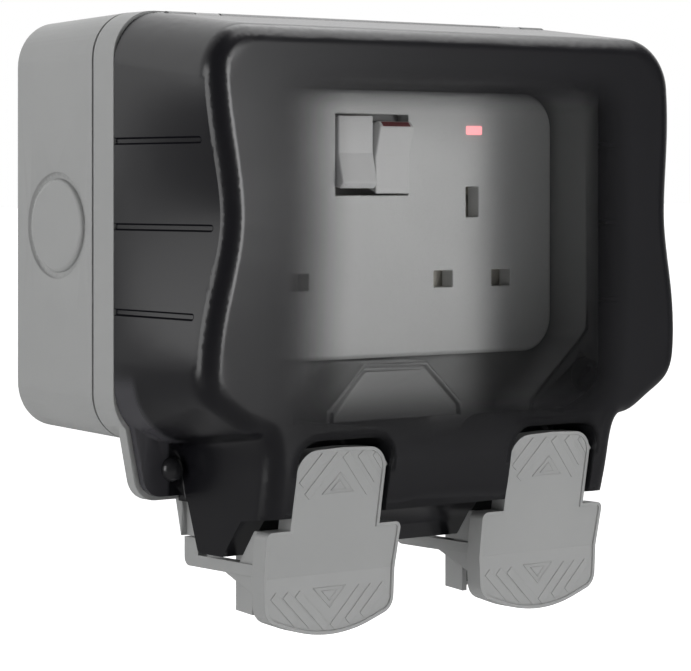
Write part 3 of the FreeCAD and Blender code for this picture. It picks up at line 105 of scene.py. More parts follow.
def vary_colour(tree, shader, pattern, low, high):
    """The colour drifts between two near shades, as moulded plastic does."""
    ramp = add(tree, "ShaderNodeValToRGB")
    ramp.color_ramp.elements[0].color = (*low, 1)
    ramp.color_ramp.elements[1].color = (*high, 1)
    ramp.color_ramp.elements[0].position = 0.3
    ramp.color_ramp.elements[1].position = 0.7
    tree.links.new(pattern.outputs["Fac"], ramp.inputs["Fac"])
    tree.links.new(ramp.outputs["Color"], shader.inputs["Base Color"])
    return ramp


def vary_roughness(tree, shader, pattern, low, high):
    """The gloss drifts between two values."""
    limits = add(tree, "ShaderNodeMapRange", To_Min=low, To_Max=high, From_Min=0.3, From_Max=0.7)
    tree.links.new(pattern.outputs["Fac"], limits.inputs["Value"])
    tree.links.new(limits.outputs["Result"], shader.inputs["Roughness"])


def skin(tree, shader, pattern, depth, strength, edge=0.0):
    """The fine relief that the mould's surface leaves, over edges softened by a small radius."""
    relief = add(tree, "ShaderNodeBump", Strength=strength, Distance=depth)
    if edge:
        soft = add(tree, "ShaderNodeBevel", samples=6, Radius=edge)
        tree.links.new(soft.outputs["Normal"], relief.inputs["Normal"])
    tree.links.new(pattern.outputs["Fac"], relief.inputs["Height"])
    tree.links.new(relief.outputs["Normal"], shader.inputs["Normal"])


def moulded(name, low, high, roughness, grain=2600, depth=0.02 * MM, strength=0.35, edge=0.0):
    """Moulded plastic: slow drift of shade, a satin gloss and a spark-eroded skin."""
    finish, tree, shader = new_finish(name, high, roughness)
    drift = object_pattern(tree, "ShaderNodeTexNoise", Scale=38.0, Detail=3.0)
    vary_colour(tree, shader, drift, low, high)
    fine = object_pattern(tree, "ShaderNodeTexNoise", Scale=grain, Detail=2.0)
    vary_roughness(tree, shader, fine, roughness - 0.05, roughness + 0.06)
    skin(tree, shader, fine, depth, strength, edge)
    return finish


def stand_in_for(node, mesh):
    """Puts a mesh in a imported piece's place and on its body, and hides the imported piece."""
    piece = bpy.data.objects.new(f"{node}_dressed", mesh)
    bpy.context.scene.collection.objects.link(piece)
    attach(piece, frame["nodes"][node]["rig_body"])
    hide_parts(node)
    return piece


def dressed_copy(node, finish, edge=0.0, sharp=SHARP):
    """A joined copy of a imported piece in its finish, its edges rounded by the given radius."""
    mesh = frame["nodes"][node].data.copy()
    form = bmesh.new()
    form.from_mesh(mesh)
    bmesh.ops.remove_doubles(form, verts=form.verts, dist=WELD)
    if edge:
        bmesh.ops.dissolve_limit(form, angle_limit=FLAT, verts=form.verts, edges=form.edges)
    for face in form.faces:
        face.smooth = True
    form.to_mesh(mesh)
    form.free()
    mesh.materials.clear()
    mesh.materials.append(finish)
    mesh.set_sharp_from_angle(angle=math.radians(sharp))
    piece = stand_in_for(node, mesh)
    if edge:
        bevel = piece.modifiers.new("mould radius", "BEVEL")
        bevel.width = edge
        bevel.segments = 3
        bevel.angle_limit = math.radians(sharp)
        bevel.use_clamp_overlap = edge < FINE_EDGE
        bevel.miter_outer = "MITER_ARC"
    even = piece.modifiers.new("even shading", "WEIGHTED_NORMAL")
    even.keep_sharp = True
    return piece


grey_plastic = moulded("grey moulded polycarbonate", GREY_SHADE, GREY, 0.42, edge=BOX_EDGE)
dressed_copy("back_box", grey_plastic)


# Seals: one black sponge-rubber strip in the box's rim and one round the frame's platform.
# Each is squeezed flat where it meets its rim, and only its edge shows in the seam.
RUBBER = (0.018, 0.018, 0.019)
RUBBER_SHADE = (0.012, 0.012, 0.013)


def in_finish(node, finish):
    """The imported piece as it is, in its real finish."""
    slots = frame["nodes"][node].data.materials
    slots.clear()
    slots.append(finish)


rubber = moulded("black sealing rubber", RUBBER_SHADE, RUBBER, 0.7, grain=1500, depth=0.05 * MM)
in_finish("box_seal", rubber)
in_finish("lid_seal", rubber)


# Frame: the grey front moulding with the raised platform, its recess for the insert,
# the hump, the two cable channels and the two spouts, screwed to the box at its corners.
dressed_copy("frame", grey_plastic)


# Corner screws: four captive plastic screws with a coin slot, moulded in a darker grey.
# They sit deep in the frame's corners and draw it down on the box's seal.
SCREW_GREY = (0.25, 0.252, 0.25)
SCREW_EDGE = 0.25 * MM
screw_plastic = moulded("screw plastic", (0.235, 0.238, 0.236), SCREW_GREY, 0.4)
dressed_copy("frame_screws", screw_plastic, SCREW_EDGE)


# Cable outlets: a soft black grommet in the mouth of each spout, closed by a thin web
# until a cable is put through.
SIDES = {"left": -1, "right": 1}
GROMMET_EDGE = 0.2 * MM
grommet_rubber = moulded("grommet rubber", RUBBER_SHADE, (0.025, 0.025, 0.026), 0.55)
for side in SIDES:
    dressed_copy(f"grommet_{side}", grommet_rubber, GROMMET_EDGE)


# Insert: the fascia with its apertures is glossy light grey plastic. It is held by two
# steel screws on a cream body that holds the shutters, the bars and the switches.
FASCIA_GREY = (0.74, 0.745, 0.74)
FASCIA_SHADE = (0.71, 0.715, 0.71)
FASCIA_EDGE = 0.35 * MM
fascia_plastic = moulded("light grey fascia", FASCIA_SHADE, FASCIA_GREY, 0.3, depth=0.01 * MM)
dressed_copy("fascia", fascia_plastic, FASCIA_EDGE)
cream_plastic = moulded("cream moulding", (0.5, 0.48, 0.42), (0.55, 0.53, 0.47), 0.45)
for node in ("insert_body", "shutter_left", "shutter_right"):
    in_finish(node, cream_plastic)


# Rockers: two light grey keys side by side on one pin, bevelled and soft-edged at the end.
# A dark red flash on the upper bevel shows only when the key is on, as the right one is.
ROCKER_EDGE = 0.45 * MM
rocker_plastic = moulded("rocker plastic", (0.74, 0.74, 0.74), (0.78, 0.782, 0.78), 0.3, depth=0.01 * MM)
flash_print = moulded("red flash print", (0.16, 0.022, 0.024), (0.19, 0.028, 0.03), 0.35)
ROCKER_X = 6.7 * MM
ROCKER_PIVOT = (-53.4 * MM, 19.65 * MM)
ROCKER_TILT = math.radians(7)
ROCKER_END = 10.6 * MM
ROCKER_FACE = -4.9 * MM
BEVEL_RISE = 2.2 * MM
BEVEL_SLOPE = 0.8
ON_PLANE = 0.001 * MM
FLASH_HALF = 5.0 * MM
FLASH_SPAN = (0.4 * MM, 1.75 * MM)
FLASH_PROUD = 0.05 * MM
FLASH_SUNK = 0.1 * MM


def rocker_place(side):
    """Takes a rocker's upright form to its resting tilt about the pin."""
    turn = Matrix.Rotation(SIDES[side] * ROCKER_TILT, 4, "X")
    return Matrix.Translation((SIDES[side] * ROCKER_X, *ROCKER_PIVOT)) @ turn


def bevel_end(piece, side):
    """Cuts the bevel at the end of a rocker that stands proud at rest."""
    end = SIDES[side]
    place = rocker_place(side)
    form = bmesh.new()
    form.from_mesh(piece.data)
    bmesh.ops.transform(form, matrix=place.inverted(), verts=form.verts)
    cut = bmesh.ops.bisect_plane(
        form, geom=form.verts[:] + form.edges[:] + form.faces[:], dist=ON_PLANE, clear_outer=True,
        plane_co=(0, ROCKER_FACE, end * (ROCKER_END - BEVEL_RISE)), plane_no=(0, -BEVEL_SLOPE, end))
    rim = [item for item in cut["geom_cut"] if isinstance(item, bmesh.types.BMEdge)]
    for face in bmesh.ops.edgenet_fill(form, edges=rim)["faces"]:
        face.smooth = True
    bmesh.ops.recalc_face_normals(form, faces=form.faces)
    bmesh.ops.transform(form, matrix=place, verts=form.verts)
    form.to_mesh(piece.data)
    form.free()
    piece.data.set_sharp_from_angle(angle=math.radians(SHARP))


def flash_patch(side):
    """The red print on the bevel at the head of one rocker."""
    out = Vector((0, -BEVEL_SLOPE, 1)).normalized()
    form = bmesh.new()
    bmesh.ops.create_cube(form, size=1)
    for vert in form.verts:
        span = FLASH_SPAN[vert.co.y > 0]
        lift = FLASH_PROUD if vert.co.z > 0 else -FLASH_SUNK
        flat = Vector((math.copysign(FLASH_HALF, vert.co.x), ROCKER_FACE + span,
                       ROCKER_END - BEVEL_RISE + span * BEVEL_SLOPE))
        vert.co = rocker_place(side) @ (flat + out * lift)
    bmesh.ops.recalc_face_normals(form, faces=form.faces)
    node = f"rocker_flash_{side}"
    mesh = bpy.data.meshes.new(f"{node}_dressed")
    form.to_mesh(mesh)
    form.free()
    mesh.materials.append(flash_print)
    stand_in_for(node, mesh)


for side in SIDES:
    bevel_end(dressed_copy(f"rocker_{side}", rocker_plastic, ROCKER_EDGE), side)
in_finish("rocker_flash_left", flash_print)
flash_patch("right")


# Indicators: a small neon lamp behind a clear red window in the fascia over each outlet.
# The right one is lit, so its window glows pink-white, and the left one is off.
GLOW = (1.0, 0.36, 0.38)
GLOW_STRENGTH = 1.3
lit_window, _, lit_shader = new_finish("lit red window", (0.9, 0.25, 0.26), 0.25)
lit_shader.inputs["Emission Color"].default_value = (*GLOW, 1)
lit_shader.inputs["Emission Strength"].default_value = GLOW_STRENGTH
dark_window = moulded("unlit red window", (0.3, 0.02, 0.02), (0.36, 0.025, 0.025), 0.2)
in_finish("neon_lens_right", lit_window)
in_finish("neon_lens_left", dark_window)
lamp_glass, _, glass_shader = new_finish("lamp glass", (0.9, 0.75, 0.7), 0.05)
glass_shader.inputs["Transmission Weight"].default_value = 0.8
for side in SIDES:
    in_finish(f"neon_lamp_{side}", lamp_glass)


# Metalwork inside: stamped brass bars and clips carry the current. Zinc-plated steel screws
# and pins hold the cables, the insert, the lid and the latches.
def metal(name, colour, roughness, along):
    """Drawn or stamped metal with fine lines along one axis."""
    finish, tree, shader = new_finish(name, colour, roughness)
    shader.inputs["Metallic"].default_value = 1.0
    lines = object_pattern(tree, "ShaderNodeTexNoise", along, Scale=900.0, Detail=3.0)
    vary_roughness(tree, shader, lines, roughness - 0.08, roughness + 0.1)
    skin(tree, shader, lines, depth=0.01 * MM, strength=0.3)
    return finish


brass = metal("stamped brass", (0.75, 0.55, 0.25), 0.32, (0.1, 1, 1))
steel = metal("zinc plated steel", (0.6, 0.6, 0.6), 0.3, (1, 0.1, 1))
for part in frame["record"]["subparts"]:
    if part["material_slot"] == "brass":
        in_finish(part["node"], brass)
    if part["material_slot"] == "steel":
        in_finish(part["node"], steel)


# Lid: one shell moulded in smoked polycarbonate, hinged at the top. Its walls are textured
# and look opaque; the polished pane in front is clear in the middle and dark round the rim.
LID_DARK = (0.0062, 0.0061, 0.0078)
LID_DRIFT = (0.0072, 0.0071, 0.009)
# Painted light: the ears get a lighter colour, standing in for light that falls on them.
EAR_PAINTED_LIGHT = (0.05, 0.049, 0.055)
EAR_OUT = 60 * MM
EAR_TOP = -38 * MM
EAR_SIDE = 66 * MM
PANE_CLEAR = 0.1
LID_EDGE = 0.15 * MM
GROOVE_PITCH = 22.8 * MM
GROOVE_HALF = 0.75 * MM
GROOVE_DEPTH = 0.7 * MM
# Width of the painted shade lines along each groove wall.
GROOVE_SHADE_LINE = 0.24 * MM
GROOVE_END = 86.4 * MM
MIDDLE_LONGER = 2.6 * MM
SIDE_FROM = 76 * MM
SHEEN = 0.5
FADES = (("X", -68 * MM, -36 * MM), ("X", 66 * MM, 48 * MM),
         ("Z", 45 * MM, 30 * MM), ("Z", -64 * MM, -42 * MM))


def maths(tree, operation, first, second=0.0):
    """The result of one sum on two sockets or numbers."""
    item = add(tree, "ShaderNodeMath", operation=operation)
    for socket, value in zip(item.inputs, (first, second)):
        if isinstance(value, (int, float)):
            socket.default_value = value
        else:
            tree.links.new(value, socket)
    return item.outputs["Value"]


def object_axes(tree):
    """The X, Y and Z of a point in the piece's own coordinates."""
    place = add(tree, "ShaderNodeTexCoord")
    axes = add(tree, "ShaderNodeSeparateXYZ")
    tree.links.new(place.outputs["Object"], axes.inputs["Vector"])
    return axes.outputs


def fade(tree, value, start, end, kind="LINEAR"):
    """Rises from 0 to 1 while the value goes from its start to its end."""
    slope = add(tree, "ShaderNodeMapRange", interpolation_type=kind, From_Min=start, From_Max=end)
    tree.links.new(value, slope.inputs["Value"])
    return slope.outputs["Result"]


def window_mask(tree):
    """How dark the tint is at a point: low in the pane's clear middle, 1 round it."""
    axes = object_axes(tree)
    clear = 1.0
    for axis, dark_at, clear_at in FADES:
        clear = maths(tree, "MULTIPLY", clear, fade(tree, axes[axis], dark_at, clear_at, "SMOOTHSTEP"))
    tint = add(tree, "ShaderNodeMapRange", To_Min=1.0, To_Max=PANE_CLEAR)
    tree.links.new(clear, tint.inputs["Value"])
    return tint.outputs["Result"]


def painted_ear_light_mask(tree):
    """Where the painted light goes: 1 on the two grained ears at the lid's lower corners, 0 elsewhere."""
    axes = object_axes(tree)
    low = fade(tree, axes["Z"], EAR_TOP, EAR_TOP - 6 * MM, "SMOOTHSTEP")
    near = fade(tree, axes["Y"], -EAR_OUT, -EAR_OUT + 3 * MM)
    beside = fade(tree, maths(tree, "ABSOLUTE", axes["X"]), EAR_SIDE, EAR_SIDE + MM)
    return maths(tree, "MULTIPLY", low, maths(tree, "MULTIPLY", near, beside))


def painted_groove_shade(tree):
    """The specular level at a point, with painted shade: it is turned off in two thin lines along the walls
    of each of the three side grooves, so they read as dark lines.
    """
    axes = object_axes(tree)
    high = maths(tree, "ABSOLUTE", axes["Z"])
    off_middle = maths(tree, "PINGPONG", axes["Z"], GROOVE_PITCH / 2)
    in_rows = maths(tree, "LESS_THAN", high, GROOVE_PITCH * 1.5)
    in_middle = maths(tree, "LESS_THAN", high, GROOVE_PITCH / 2)
    end = maths(tree, "ADD", GROOVE_END, maths(tree, "MULTIPLY", in_middle, MIDDLE_LONGER))
    past = maths(tree, "MAXIMUM", maths(tree, "SUBTRACT", maths(tree, "MULTIPLY", axes["Y"], -1), end), 0)
    squares = maths(tree, "ADD", maths(tree, "POWER", off_middle, 2), maths(tree, "POWER", past, 2))
    off_wall = maths(tree, "ABSOLUTE", maths(tree, "SUBTRACT", maths(tree, "SQRT", squares), GROOVE_HALF))
    wall = maths(tree, "MULTIPLY", maths(tree, "LESS_THAN", off_wall, GROOVE_SHADE_LINE), in_rows)
    on_side = maths(tree, "GREATER_THAN", maths(tree, "ABSOLUTE", axes["X"]), SIDE_FROM)
    return maths(tree, "MULTIPLY", maths(tree, "SUBTRACT", 1, maths(tree, "MULTIPLY", wall, on_side)), SHEEN)


def smoked_plastic():
    """Dark tinted plastic with a fine even grain, clear only in the middle of the pane, with painted light on
    the ears and painted shade lines in the side grooves.
    """
    finish, tree, shader = new_finish("smoked polycarbonate", LID_DARK, 0.3)
    tree.links.new(window_mask(tree), shader.inputs["Alpha"])
    drift = object_pattern(tree, "ShaderNodeTexNoise", (1, 1, 0.3), Scale=30.0, Detail=2.0)
    ramp = vary_colour(tree, shader, drift, LID_DARK, LID_DRIFT)
    # Painted light: the ears are mixed to a lighter colour than the rest of the lid.
    tone = add(tree, "ShaderNodeMix", data_type="RGBA")
    tree.links.new(painted_ear_light_mask(tree), tone.inputs[0])
    tree.links.new(ramp.outputs["Color"], tone.inputs[6])
    tone.inputs[7].default_value = (*EAR_PAINTED_LIGHT, 1)
    tree.links.new(tone.outputs[2], shader.inputs["Base Color"])
    grain = object_pattern(tree, "ShaderNodeTexNoise", Scale=1800.0, Detail=2.0)
    vary_roughness(tree, shader, grain, 0.262, 0.27)
    soft = add(tree, "ShaderNodeBevel", samples=6, Radius=LID_EDGE)
    tree.links.new(soft.outputs["Normal"], shader.inputs["Normal"])
    # Painted shade: dark lines along the side grooves, where the reflection is turned off.
    tree.links.new(painted_groove_shade(tree), shader.inputs["Specular IOR Level"])
    return finish


LID_BACK = 48.35 * MM
LID_FRONT = 92.0 * MM
CORNER = 14.5 * MM
NEAR_WALL = GROOVE_DEPTH + 0.3 * MM
NEAR_ANGLE = math.radians(20)
SIDE_BACK = ((82.6 * MM, 58.0 * MM), (82.6 * MM, 0.0), (82.6 * MM, -36.0 * MM))
SIDE_FRONT = ((83.0 * MM, 52.8 * MM), (79.8 * MM, 0.0), (85.7 * MM, -36.0 * MM))


def side_wall(out, z):
    """Half the lid's width and its fall at a depth and a height, None off the wall. The wall's
    upright line is a smooth cubic from shoulder to waist and from waist to hip."""
    share = (out - LID_BACK) / (LID_FRONT - LID_BACK)
    (x0, z0), (x1, z1), (x2, z2) = [
        (b[0] + (f[0] - b[0]) * share, b[1] + (f[1] - b[1]) * share) for b, f in zip(SIDE_BACK, SIDE_FRONT)]
    z0 -= CORNER
    if not z2 <= z <= z0:
        return None
    first, second = z0 - z1, z1 - z2
    bend = 3 * ((x1 - x0) / first ** 2 + (x2 - x1) / second ** 2) / (2 / first + 2 / second)
    if z > z1:
        return cubic((z0 - z) / first, first, (x0, x1), (0, bend))
    return cubic((z1 - z) / second, second, (x1, x2), (bend, 0))


def cubic(t, length, ends, slopes):
    """A cubic between two values with a slope at each end: its value and its slope at share t."""
    value = ((2 * t ** 3 - 3 * t ** 2 + 1) * ends[0] + (t ** 3 - 2 * t ** 2 + t) * length * slopes[0]
             + (3 * t ** 2 - 2 * t ** 3) * ends[1] + (t ** 3 - t ** 2) * length * slopes[1])
    slope = ((6 * t ** 2 - 6 * t) * ends[0] / length + (3 * t ** 2 - 4 * t + 1) * slopes[0]
             + (6 * t - 6 * t ** 2) * ends[1] / length + (3 * t ** 2 - 2 * t) * slopes[1])
    return value, slope


def even_sides(piece):
    """Gives the lid's side walls the smooth normals of their true curve, free of mesh streaks."""
    ready = piece.evaluated_get(bpy.context.evaluated_depsgraph_get())
    mesh = bpy.data.meshes.new_from_object(ready)
    normals = [corner.vector.copy() for corner in mesh.corner_normals]
    step = 0.5 * MM
    for face in mesh.polygons:
        for loop in face.loop_indices:
            at = mesh.vertices[mesh.loops[loop].vertex_index].co
            here = side_wall(-at.y, at.z)
            if here is None or abs(abs(at.x) - here[0]) > NEAR_WALL:
                continue
            ahead = side_wall(-at.y + step, at.z) or here
            sign = math.copysign(1, at.x)
            normal = Vector((sign, (ahead[0] - here[0]) / step, here[1])).normalized()
            if normal.angle(face.normal) < NEAR_ANGLE:
                normals[loop] = normal
    piece.modifiers.clear()
    piece.data = mesh
    mesh.normals_split_custom_set(normals)


even_sides(dressed_copy("lid", smoked_plastic(), sharp=24))


# Lock plugs: a glossy black domed plug, moulded in hard plastic and pressed into the padlock
# hole of each lower ear.
plug_black, _, _ = new_finish("glossy plug", (0.02, 0.02, 0.022), 0.2)
for side in SIDES:
    dressed_copy(f"lock_plug_{side}", plug_black)


# Latches: two moulded grey paddles on the lid's lower edge. Each swings on its own pin, and
# its arm and hook reach under the frame's skirt. The face is sunk within a narrow rim, with
# raised triangles and stripes at the head and at the foot.
LATCH_EDGE = 0.18 * MM
RIM_WIDTH = 0.9 * MM
RIM_HEIGHT = 0.4 * MM
RIM_STEP = 0.12 * MM
FACE_FROM = 84 * MM
FACING = 0.95
MARK = 0.42 * MM
MARK_PROUD = 0.14 * MM
BAR = 2.3 * MM
INNER_SHARE = 0.48
OUTLET_X = 37.5 * MM
FACE_HEAD = (90.4 * MM, -59.0 * MM)
FACE_LEAN = math.radians(10)
CREASE_Z = -92.7 * MM
FOOT_Z = -100 * MM


def sink_face(piece):
    """Sinks the face of a latch within a narrow rim."""
    form = bmesh.new()
    form.from_mesh(piece.data)
    form.normal_update()
    face = [f for f in form.faces if f.normal.y < -FACING and f.calc_center_median().y < -FACE_FROM]
    for width, depth in ((RIM_WIDTH, 0.0), (RIM_STEP, -RIM_HEIGHT)):
        bmesh.ops.inset_region(form, faces=face, thickness=width, depth=depth, use_even_offset=True)
    form.to_mesh(piece.data)
    form.free()
    piece.data.set_sharp_from_angle(angle=math.radians(SHARP))


def mark_tree():
    """Raised marks on a flat face: a nested pair of triangles between two fans of slanted bars."""
    tree = bpy.data.node_groups.new("press marks", "GeometryNodeTree")
    tree.interface.new_socket("Geometry", in_out="OUTPUT", socket_type="NodeSocketGeometry")
    count = tree.interface.new_socket("Bars", in_out="INPUT", socket_type="NodeSocketInt")
    count.default_value = 3
    for name, value in (("Pitch", 4 * MM), ("Climb", MM), ("Start", 5 * MM), ("Rise", 0), ("Length", 14 * MM),
                        ("Shortening", 0.2), ("Lean", 0.7), ("Bar width", BAR), ("Thickness", MARK),
                        ("Triangle", 6 * MM), ("Triangle squash", 0.58), ("Triangle height", 0)):
        socket = tree.interface.new_socket(name, in_out="INPUT", socket_type="NodeSocketFloat")
        socket.default_value = value
    tree.interface.new_socket("Material", in_out="INPUT", socket_type="NodeSocketMaterial")
    given = add(tree, "NodeGroupInput")
    link = tree.links.new

    def combine(x=1.0, y=1.0, z=1.0):
        vector = add(tree, "ShaderNodeCombineXYZ")
        for name, source in (("X", x), ("Y", y), ("Z", z)):
            if isinstance(source, float):
                vector.inputs[name].default_value = source
            else:
                link(source, vector.inputs[name])
        return vector.outputs["Vector"]

    row = add(tree, "GeometryNodeMeshLine")
    link(given.outputs["Bars"], row.inputs["Count"])
    link(combine(given.outputs["Start"], 0.0, given.outputs["Rise"]), row.inputs["Start Location"])
    link(combine(given.outputs["Pitch"], 0.0, given.outputs["Climb"]), row.inputs["Offset"])
    bar = add(tree, "GeometryNodeMeshCube")
    link(combine(given.outputs["Bar width"], given.outputs["Thickness"], given.outputs["Length"]),
         bar.inputs["Size"])
    number = add(tree, "GeometryNodeInputIndex")
    shorter = maths(tree, "MULTIPLY", number.outputs["Index"], given.outputs["Shortening"])
    bars = add(tree, "GeometryNodeInstanceOnPoints")
    link(row.outputs["Mesh"], bars.inputs["Points"])
    link(bar.outputs["Mesh"], bars.inputs["Instance"])
    link(combine(0.0, given.outputs["Lean"], 0.0), bars.inputs["Rotation"])
    link(combine(z=maths(tree, "SUBTRACT", 1.0, shorter)), bars.inputs["Scale"])
    other = add(tree, "GeometryNodeTransform", Scale=(-1, 1, 1))
    link(bars.outputs["Instances"], other.inputs["Geometry"])
    ring = add(tree, "GeometryNodeCurvePrimitiveCircle", mode="RADIUS")
    ring.inputs["Resolution"].default_value = 3
    link(given.outputs["Triangle"], ring.inputs["Radius"])
    stand = add(tree, "GeometryNodeTransform", Rotation=(math.pi / 2, -math.pi / 2, 0))
    link(ring.outputs["Curve"], stand.inputs["Geometry"])
    flat = add(tree, "GeometryNodeTransform")
    link(stand.outputs["Geometry"], flat.inputs["Geometry"])
    link(combine(z=given.outputs["Triangle squash"]), flat.inputs["Scale"])
    section = add(tree, "GeometryNodeCurvePrimitiveQuadrilateral")
    link(given.outputs["Thickness"], section.inputs["Width"])
    link(given.outputs["Thickness"], section.inputs["Height"])
    nest = add(tree, "GeometryNodeMeshLine", Count=2)
    link(combine(0.0, 0.0, given.outputs["Triangle height"]), nest.inputs["Start Location"])
    nest.inputs["Offset"].default_value = (0, 0, 0)
    inner = maths(tree, "SUBTRACT", 1.0, maths(tree, "MULTIPLY", number.outputs["Index"], 1 - INNER_SHARE))
    pair = add(tree, "GeometryNodeInstanceOnPoints")
    link(nest.outputs["Mesh"], pair.inputs["Points"])
    link(flat.outputs["Geometry"], pair.inputs["Instance"])
    link(inner, pair.inputs["Scale"])
    loose = add(tree, "GeometryNodeRealizeInstances")
    link(pair.outputs["Instances"], loose.inputs["Geometry"])
    drawn = add(tree, "GeometryNodeCurveToMesh")
    link(loose.outputs["Geometry"], drawn.inputs["Curve"])
    link(section.outputs["Curve"], drawn.inputs["Profile Curve"])
    both = add(tree, "GeometryNodeJoinGeometry")
    for part in (bars.outputs["Instances"], other.outputs["Geometry"], drawn.outputs["Mesh"]):
        link(part, both.inputs["Geometry"])
    real = add(tree, "GeometryNodeRealizeInstances")
    link(both.outputs["Geometry"], real.inputs["Geometry"])
    finish = add(tree, "GeometryNodeSetMaterial")
    link(real.outputs["Geometry"], finish.inputs["Geometry"])
    link(given.outputs["Material"], finish.inputs["Material"])
    result = add(tree, "NodeGroupOutput")
    link(finish.outputs["Geometry"], result.inputs["Geometry"])
    return tree


def press_marks(name, tree, finish, values, place):
    """One set of marks, worked out from its tree and laid on the face."""
    carrier = bpy.data.objects.new("marks", bpy.data.meshes.new("marks"))
    bpy.context.scene.collection.objects.link(carrier)
    work = carrier.modifiers.new("marks", "NODES")
    work.node_group = tree
    sockets = {item.name: item.identifier for item in tree.interface.items_tree if item.in_out == "INPUT"}
    for key, value in {**values, "Material": finish}.items():
        work[sockets[key]] = value
    ready = carrier.evaluated_get(bpy.context.evaluated_depsgraph_get())
    mesh = bpy.data.meshes.new_from_object(ready)
    bpy.data.objects.remove(carrier)
    mesh.transform(place)
    mesh.name = name
    return mesh


def latch_marks(side, tree):
    """The marks at the head and the foot of one latch, as one piece that swings with it."""
    x = SIDES[side] * OUTLET_X
    sunk = RIM_HEIGHT + MARK / 2 - MARK_PROUD
    head = Matrix.Translation((x, -(FACE_HEAD[0] - sunk), FACE_HEAD[1])) @ Matrix.Rotation(FACE_LEAN, 4, "X")
    foot_out = FACE_HEAD[0] + (CREASE_Z - FACE_HEAD[1]) * math.tan(FACE_LEAN) - sunk
    foot = Matrix.Translation((x, -foot_out, FOOT_Z))
    upper = {"Bars": 3, "Pitch": 3.67 * MM, "Climb": 1.64 * MM, "Start": 5.8 * MM, "Rise": -6.9 * MM,
             "Length": 14.5 * MM, "Shortening": 0.3, "Lean": math.radians(-41), "Triangle": 6.2 * MM,
             "Triangle height": -10.1 * MM}
    lower = {"Bars": 3, "Pitch": 4.57 * MM, "Climb": 0.53 * MM, "Start": 5.9 * MM, "Rise": -2.1 * MM,
             "Length": 13.9 * MM, "Shortening": 0.108, "Lean": math.radians(45), "Triangle": -6.2 * MM,
             "Triangle height": 2.0 * MM}
    form = bmesh.new()
    for label, values, place in (("head", upper, head), ("foot", lower, foot)):
        mesh = press_marks(f"{label}_{side}", tree, latch_plastic, values, place)
        form.from_mesh(mesh)
    mesh = bpy.data.meshes.new(f"latch_marks_{side}")
    form.to_mesh(mesh)
    form.free()
    mesh.materials.append(latch_plastic)
    marks = bpy.data.objects.new(f"latch_marks_{side}", mesh)
    bpy.context.scene.collection.objects.link(marks)
    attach(marks, frame["nodes"][f"latch_{side}"]["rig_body"])


latch_plastic = moulded("latch grey plastic", GREY_SHADE, GREY, 0.42, edge=LATCH_EDGE)
marks_tree = mark_tree()
for side in SIDES:
    sink_face(dressed_copy(f"latch_{side}", latch_plastic, LATCH_EDGE))
    latch_marks(side, marks_tree)


# Stage: a pale floor under the part, a plain pale surround, three soft lights and the camera,
# which stands in front of the part and to its left.
FLOOR_SIZE = 60
FLOOR_Z = -0.30
FLOOR_PALE = (0.9, 0.9, 0.9)
FLOOR_MIRRORED = (0.2, 0.2, 0.2)
FLOOR_LIFT = 0.75
DIM = 0.07
BRIGHT = 1.1
AIM = Vector((0, -0.05, 0))


def stage_floor():
    """The floor stays near white to the eye and keeps the part's soft shadow."""
    bpy.ops.mesh.primitive_plane_add(size=FLOOR_SIZE, location=(0, 0, FLOOR_Z))
    floor = bpy.context.object
    floor.name = "floor"
    finish, tree, shader = new_finish("pale floor", FLOOR_PALE, 0.8)
    path = add(tree, "ShaderNodeLightPath")
    tone = add(tree, "ShaderNodeMix", data_type="RGBA")
    tree.links.new(path.outputs["Is Glossy Ray"], tone.inputs[0])
    tone.inputs[6].default_value = (*FLOOR_PALE, 1)
    tone.inputs[7].default_value = (*FLOOR_MIRRORED, 1)
    tree.links.new(tone.outputs[2], shader.inputs["Base Color"])
    shader.inputs["Emission Color"].default_value = (1, 1, 1, 1)
    lift = maths(tree, "MULTIPLY", path.outputs["Is Camera Ray"], FLOOR_LIFT)
    tree.links.new(lift, shader.inputs["Emission Strength"])
    floor.data.materials.append(finish)


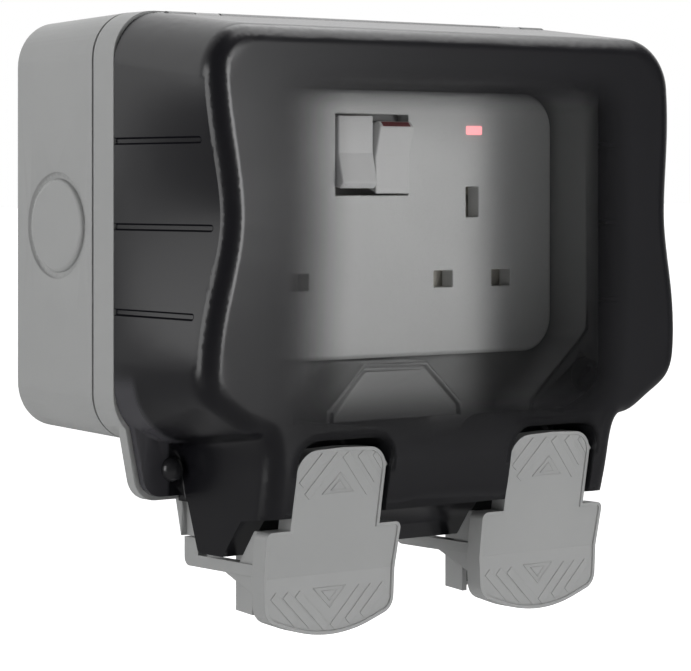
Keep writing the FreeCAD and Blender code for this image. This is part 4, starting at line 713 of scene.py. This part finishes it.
def surround():
    """White to the eye, and in the light that falls on the part dim in front and bright behind."""
    world = bpy.data.worlds.new("surround")
    bpy.context.scene.world = world
    world.use_nodes = True
    sky = world.node_tree
    background = sky.nodes["Background"]
    direction = add(sky, "ShaderNodeTexCoord")
    heading = add(sky, "ShaderNodeSeparateXYZ")
    sky.links.new(direction.outputs["Generated"], heading.inputs["Vector"])
    rise = add(sky, "ShaderNodeMapRange", From_Min=-0.1, From_Max=0.6, To_Min=DIM, To_Max=BRIGHT)
    sky.links.new(heading.outputs["Y"], rise.inputs["Value"])
    ray = add(sky, "ShaderNodeLightPath")
    level = add(sky, "ShaderNodeMix", data_type="FLOAT")
    seen = maths(sky, "MAXIMUM", ray.outputs["Is Camera Ray"], ray.outputs["Is Transmission Ray"])
    sky.links.new(seen, level.inputs[0])
    sky.links.new(rise.outputs["Result"], level.inputs[2])
    level.inputs[3].default_value = 1.0
    sky.links.new(level.outputs[0], background.inputs["Strength"])
    background.inputs["Color"].default_value = (1, 1, 1, 1)


def softbox(name, at, size, power):
    """A rectangular soft light that faces the part."""
    light = bpy.data.lights.new(name, "AREA")
    light.shape = "RECTANGLE"
    light.size, light.size_y = size
    light.energy = power
    lamp = bpy.data.objects.new(name, light)
    lamp.location = at
    lamp.rotation_euler = (AIM - Vector(at)).to_track_quat("-Z", "Y").to_euler()
    bpy.context.scene.collection.objects.link(lamp)


stage_floor()
surround()
softbox("left", (-1.4, -0.05, 0.0), (0.6, 1.2), 7.8)
softbox("front", (0.48, -1.38, 0.12), (0.4, 0.8), 8.8)
softbox("top", (0.5, -0.05, 1.1), (1.5, 0.9), 11)

VIEW_TURN = math.radians(38.44)
camera = bpy.data.cameras.new("camera")
camera.sensor_width = 36
camera.sensor_fit = "HORIZONTAL"
camera.lens = 147.9
camera.shift_x = 0.0017
camera.shift_y = -0.2198
camera.clip_start = 0.01
eye = bpy.data.objects.new("camera", camera)
eye.location = (-0.5059, -0.6806, 0.0115)
eye.rotation_euler = (math.pi / 2, 0, -VIEW_TURN)
bpy.context.scene.collection.objects.link(eye)
bpy.context.scene.camera = eye
bpy.context.scene.view_settings.view_transform = "Standard"
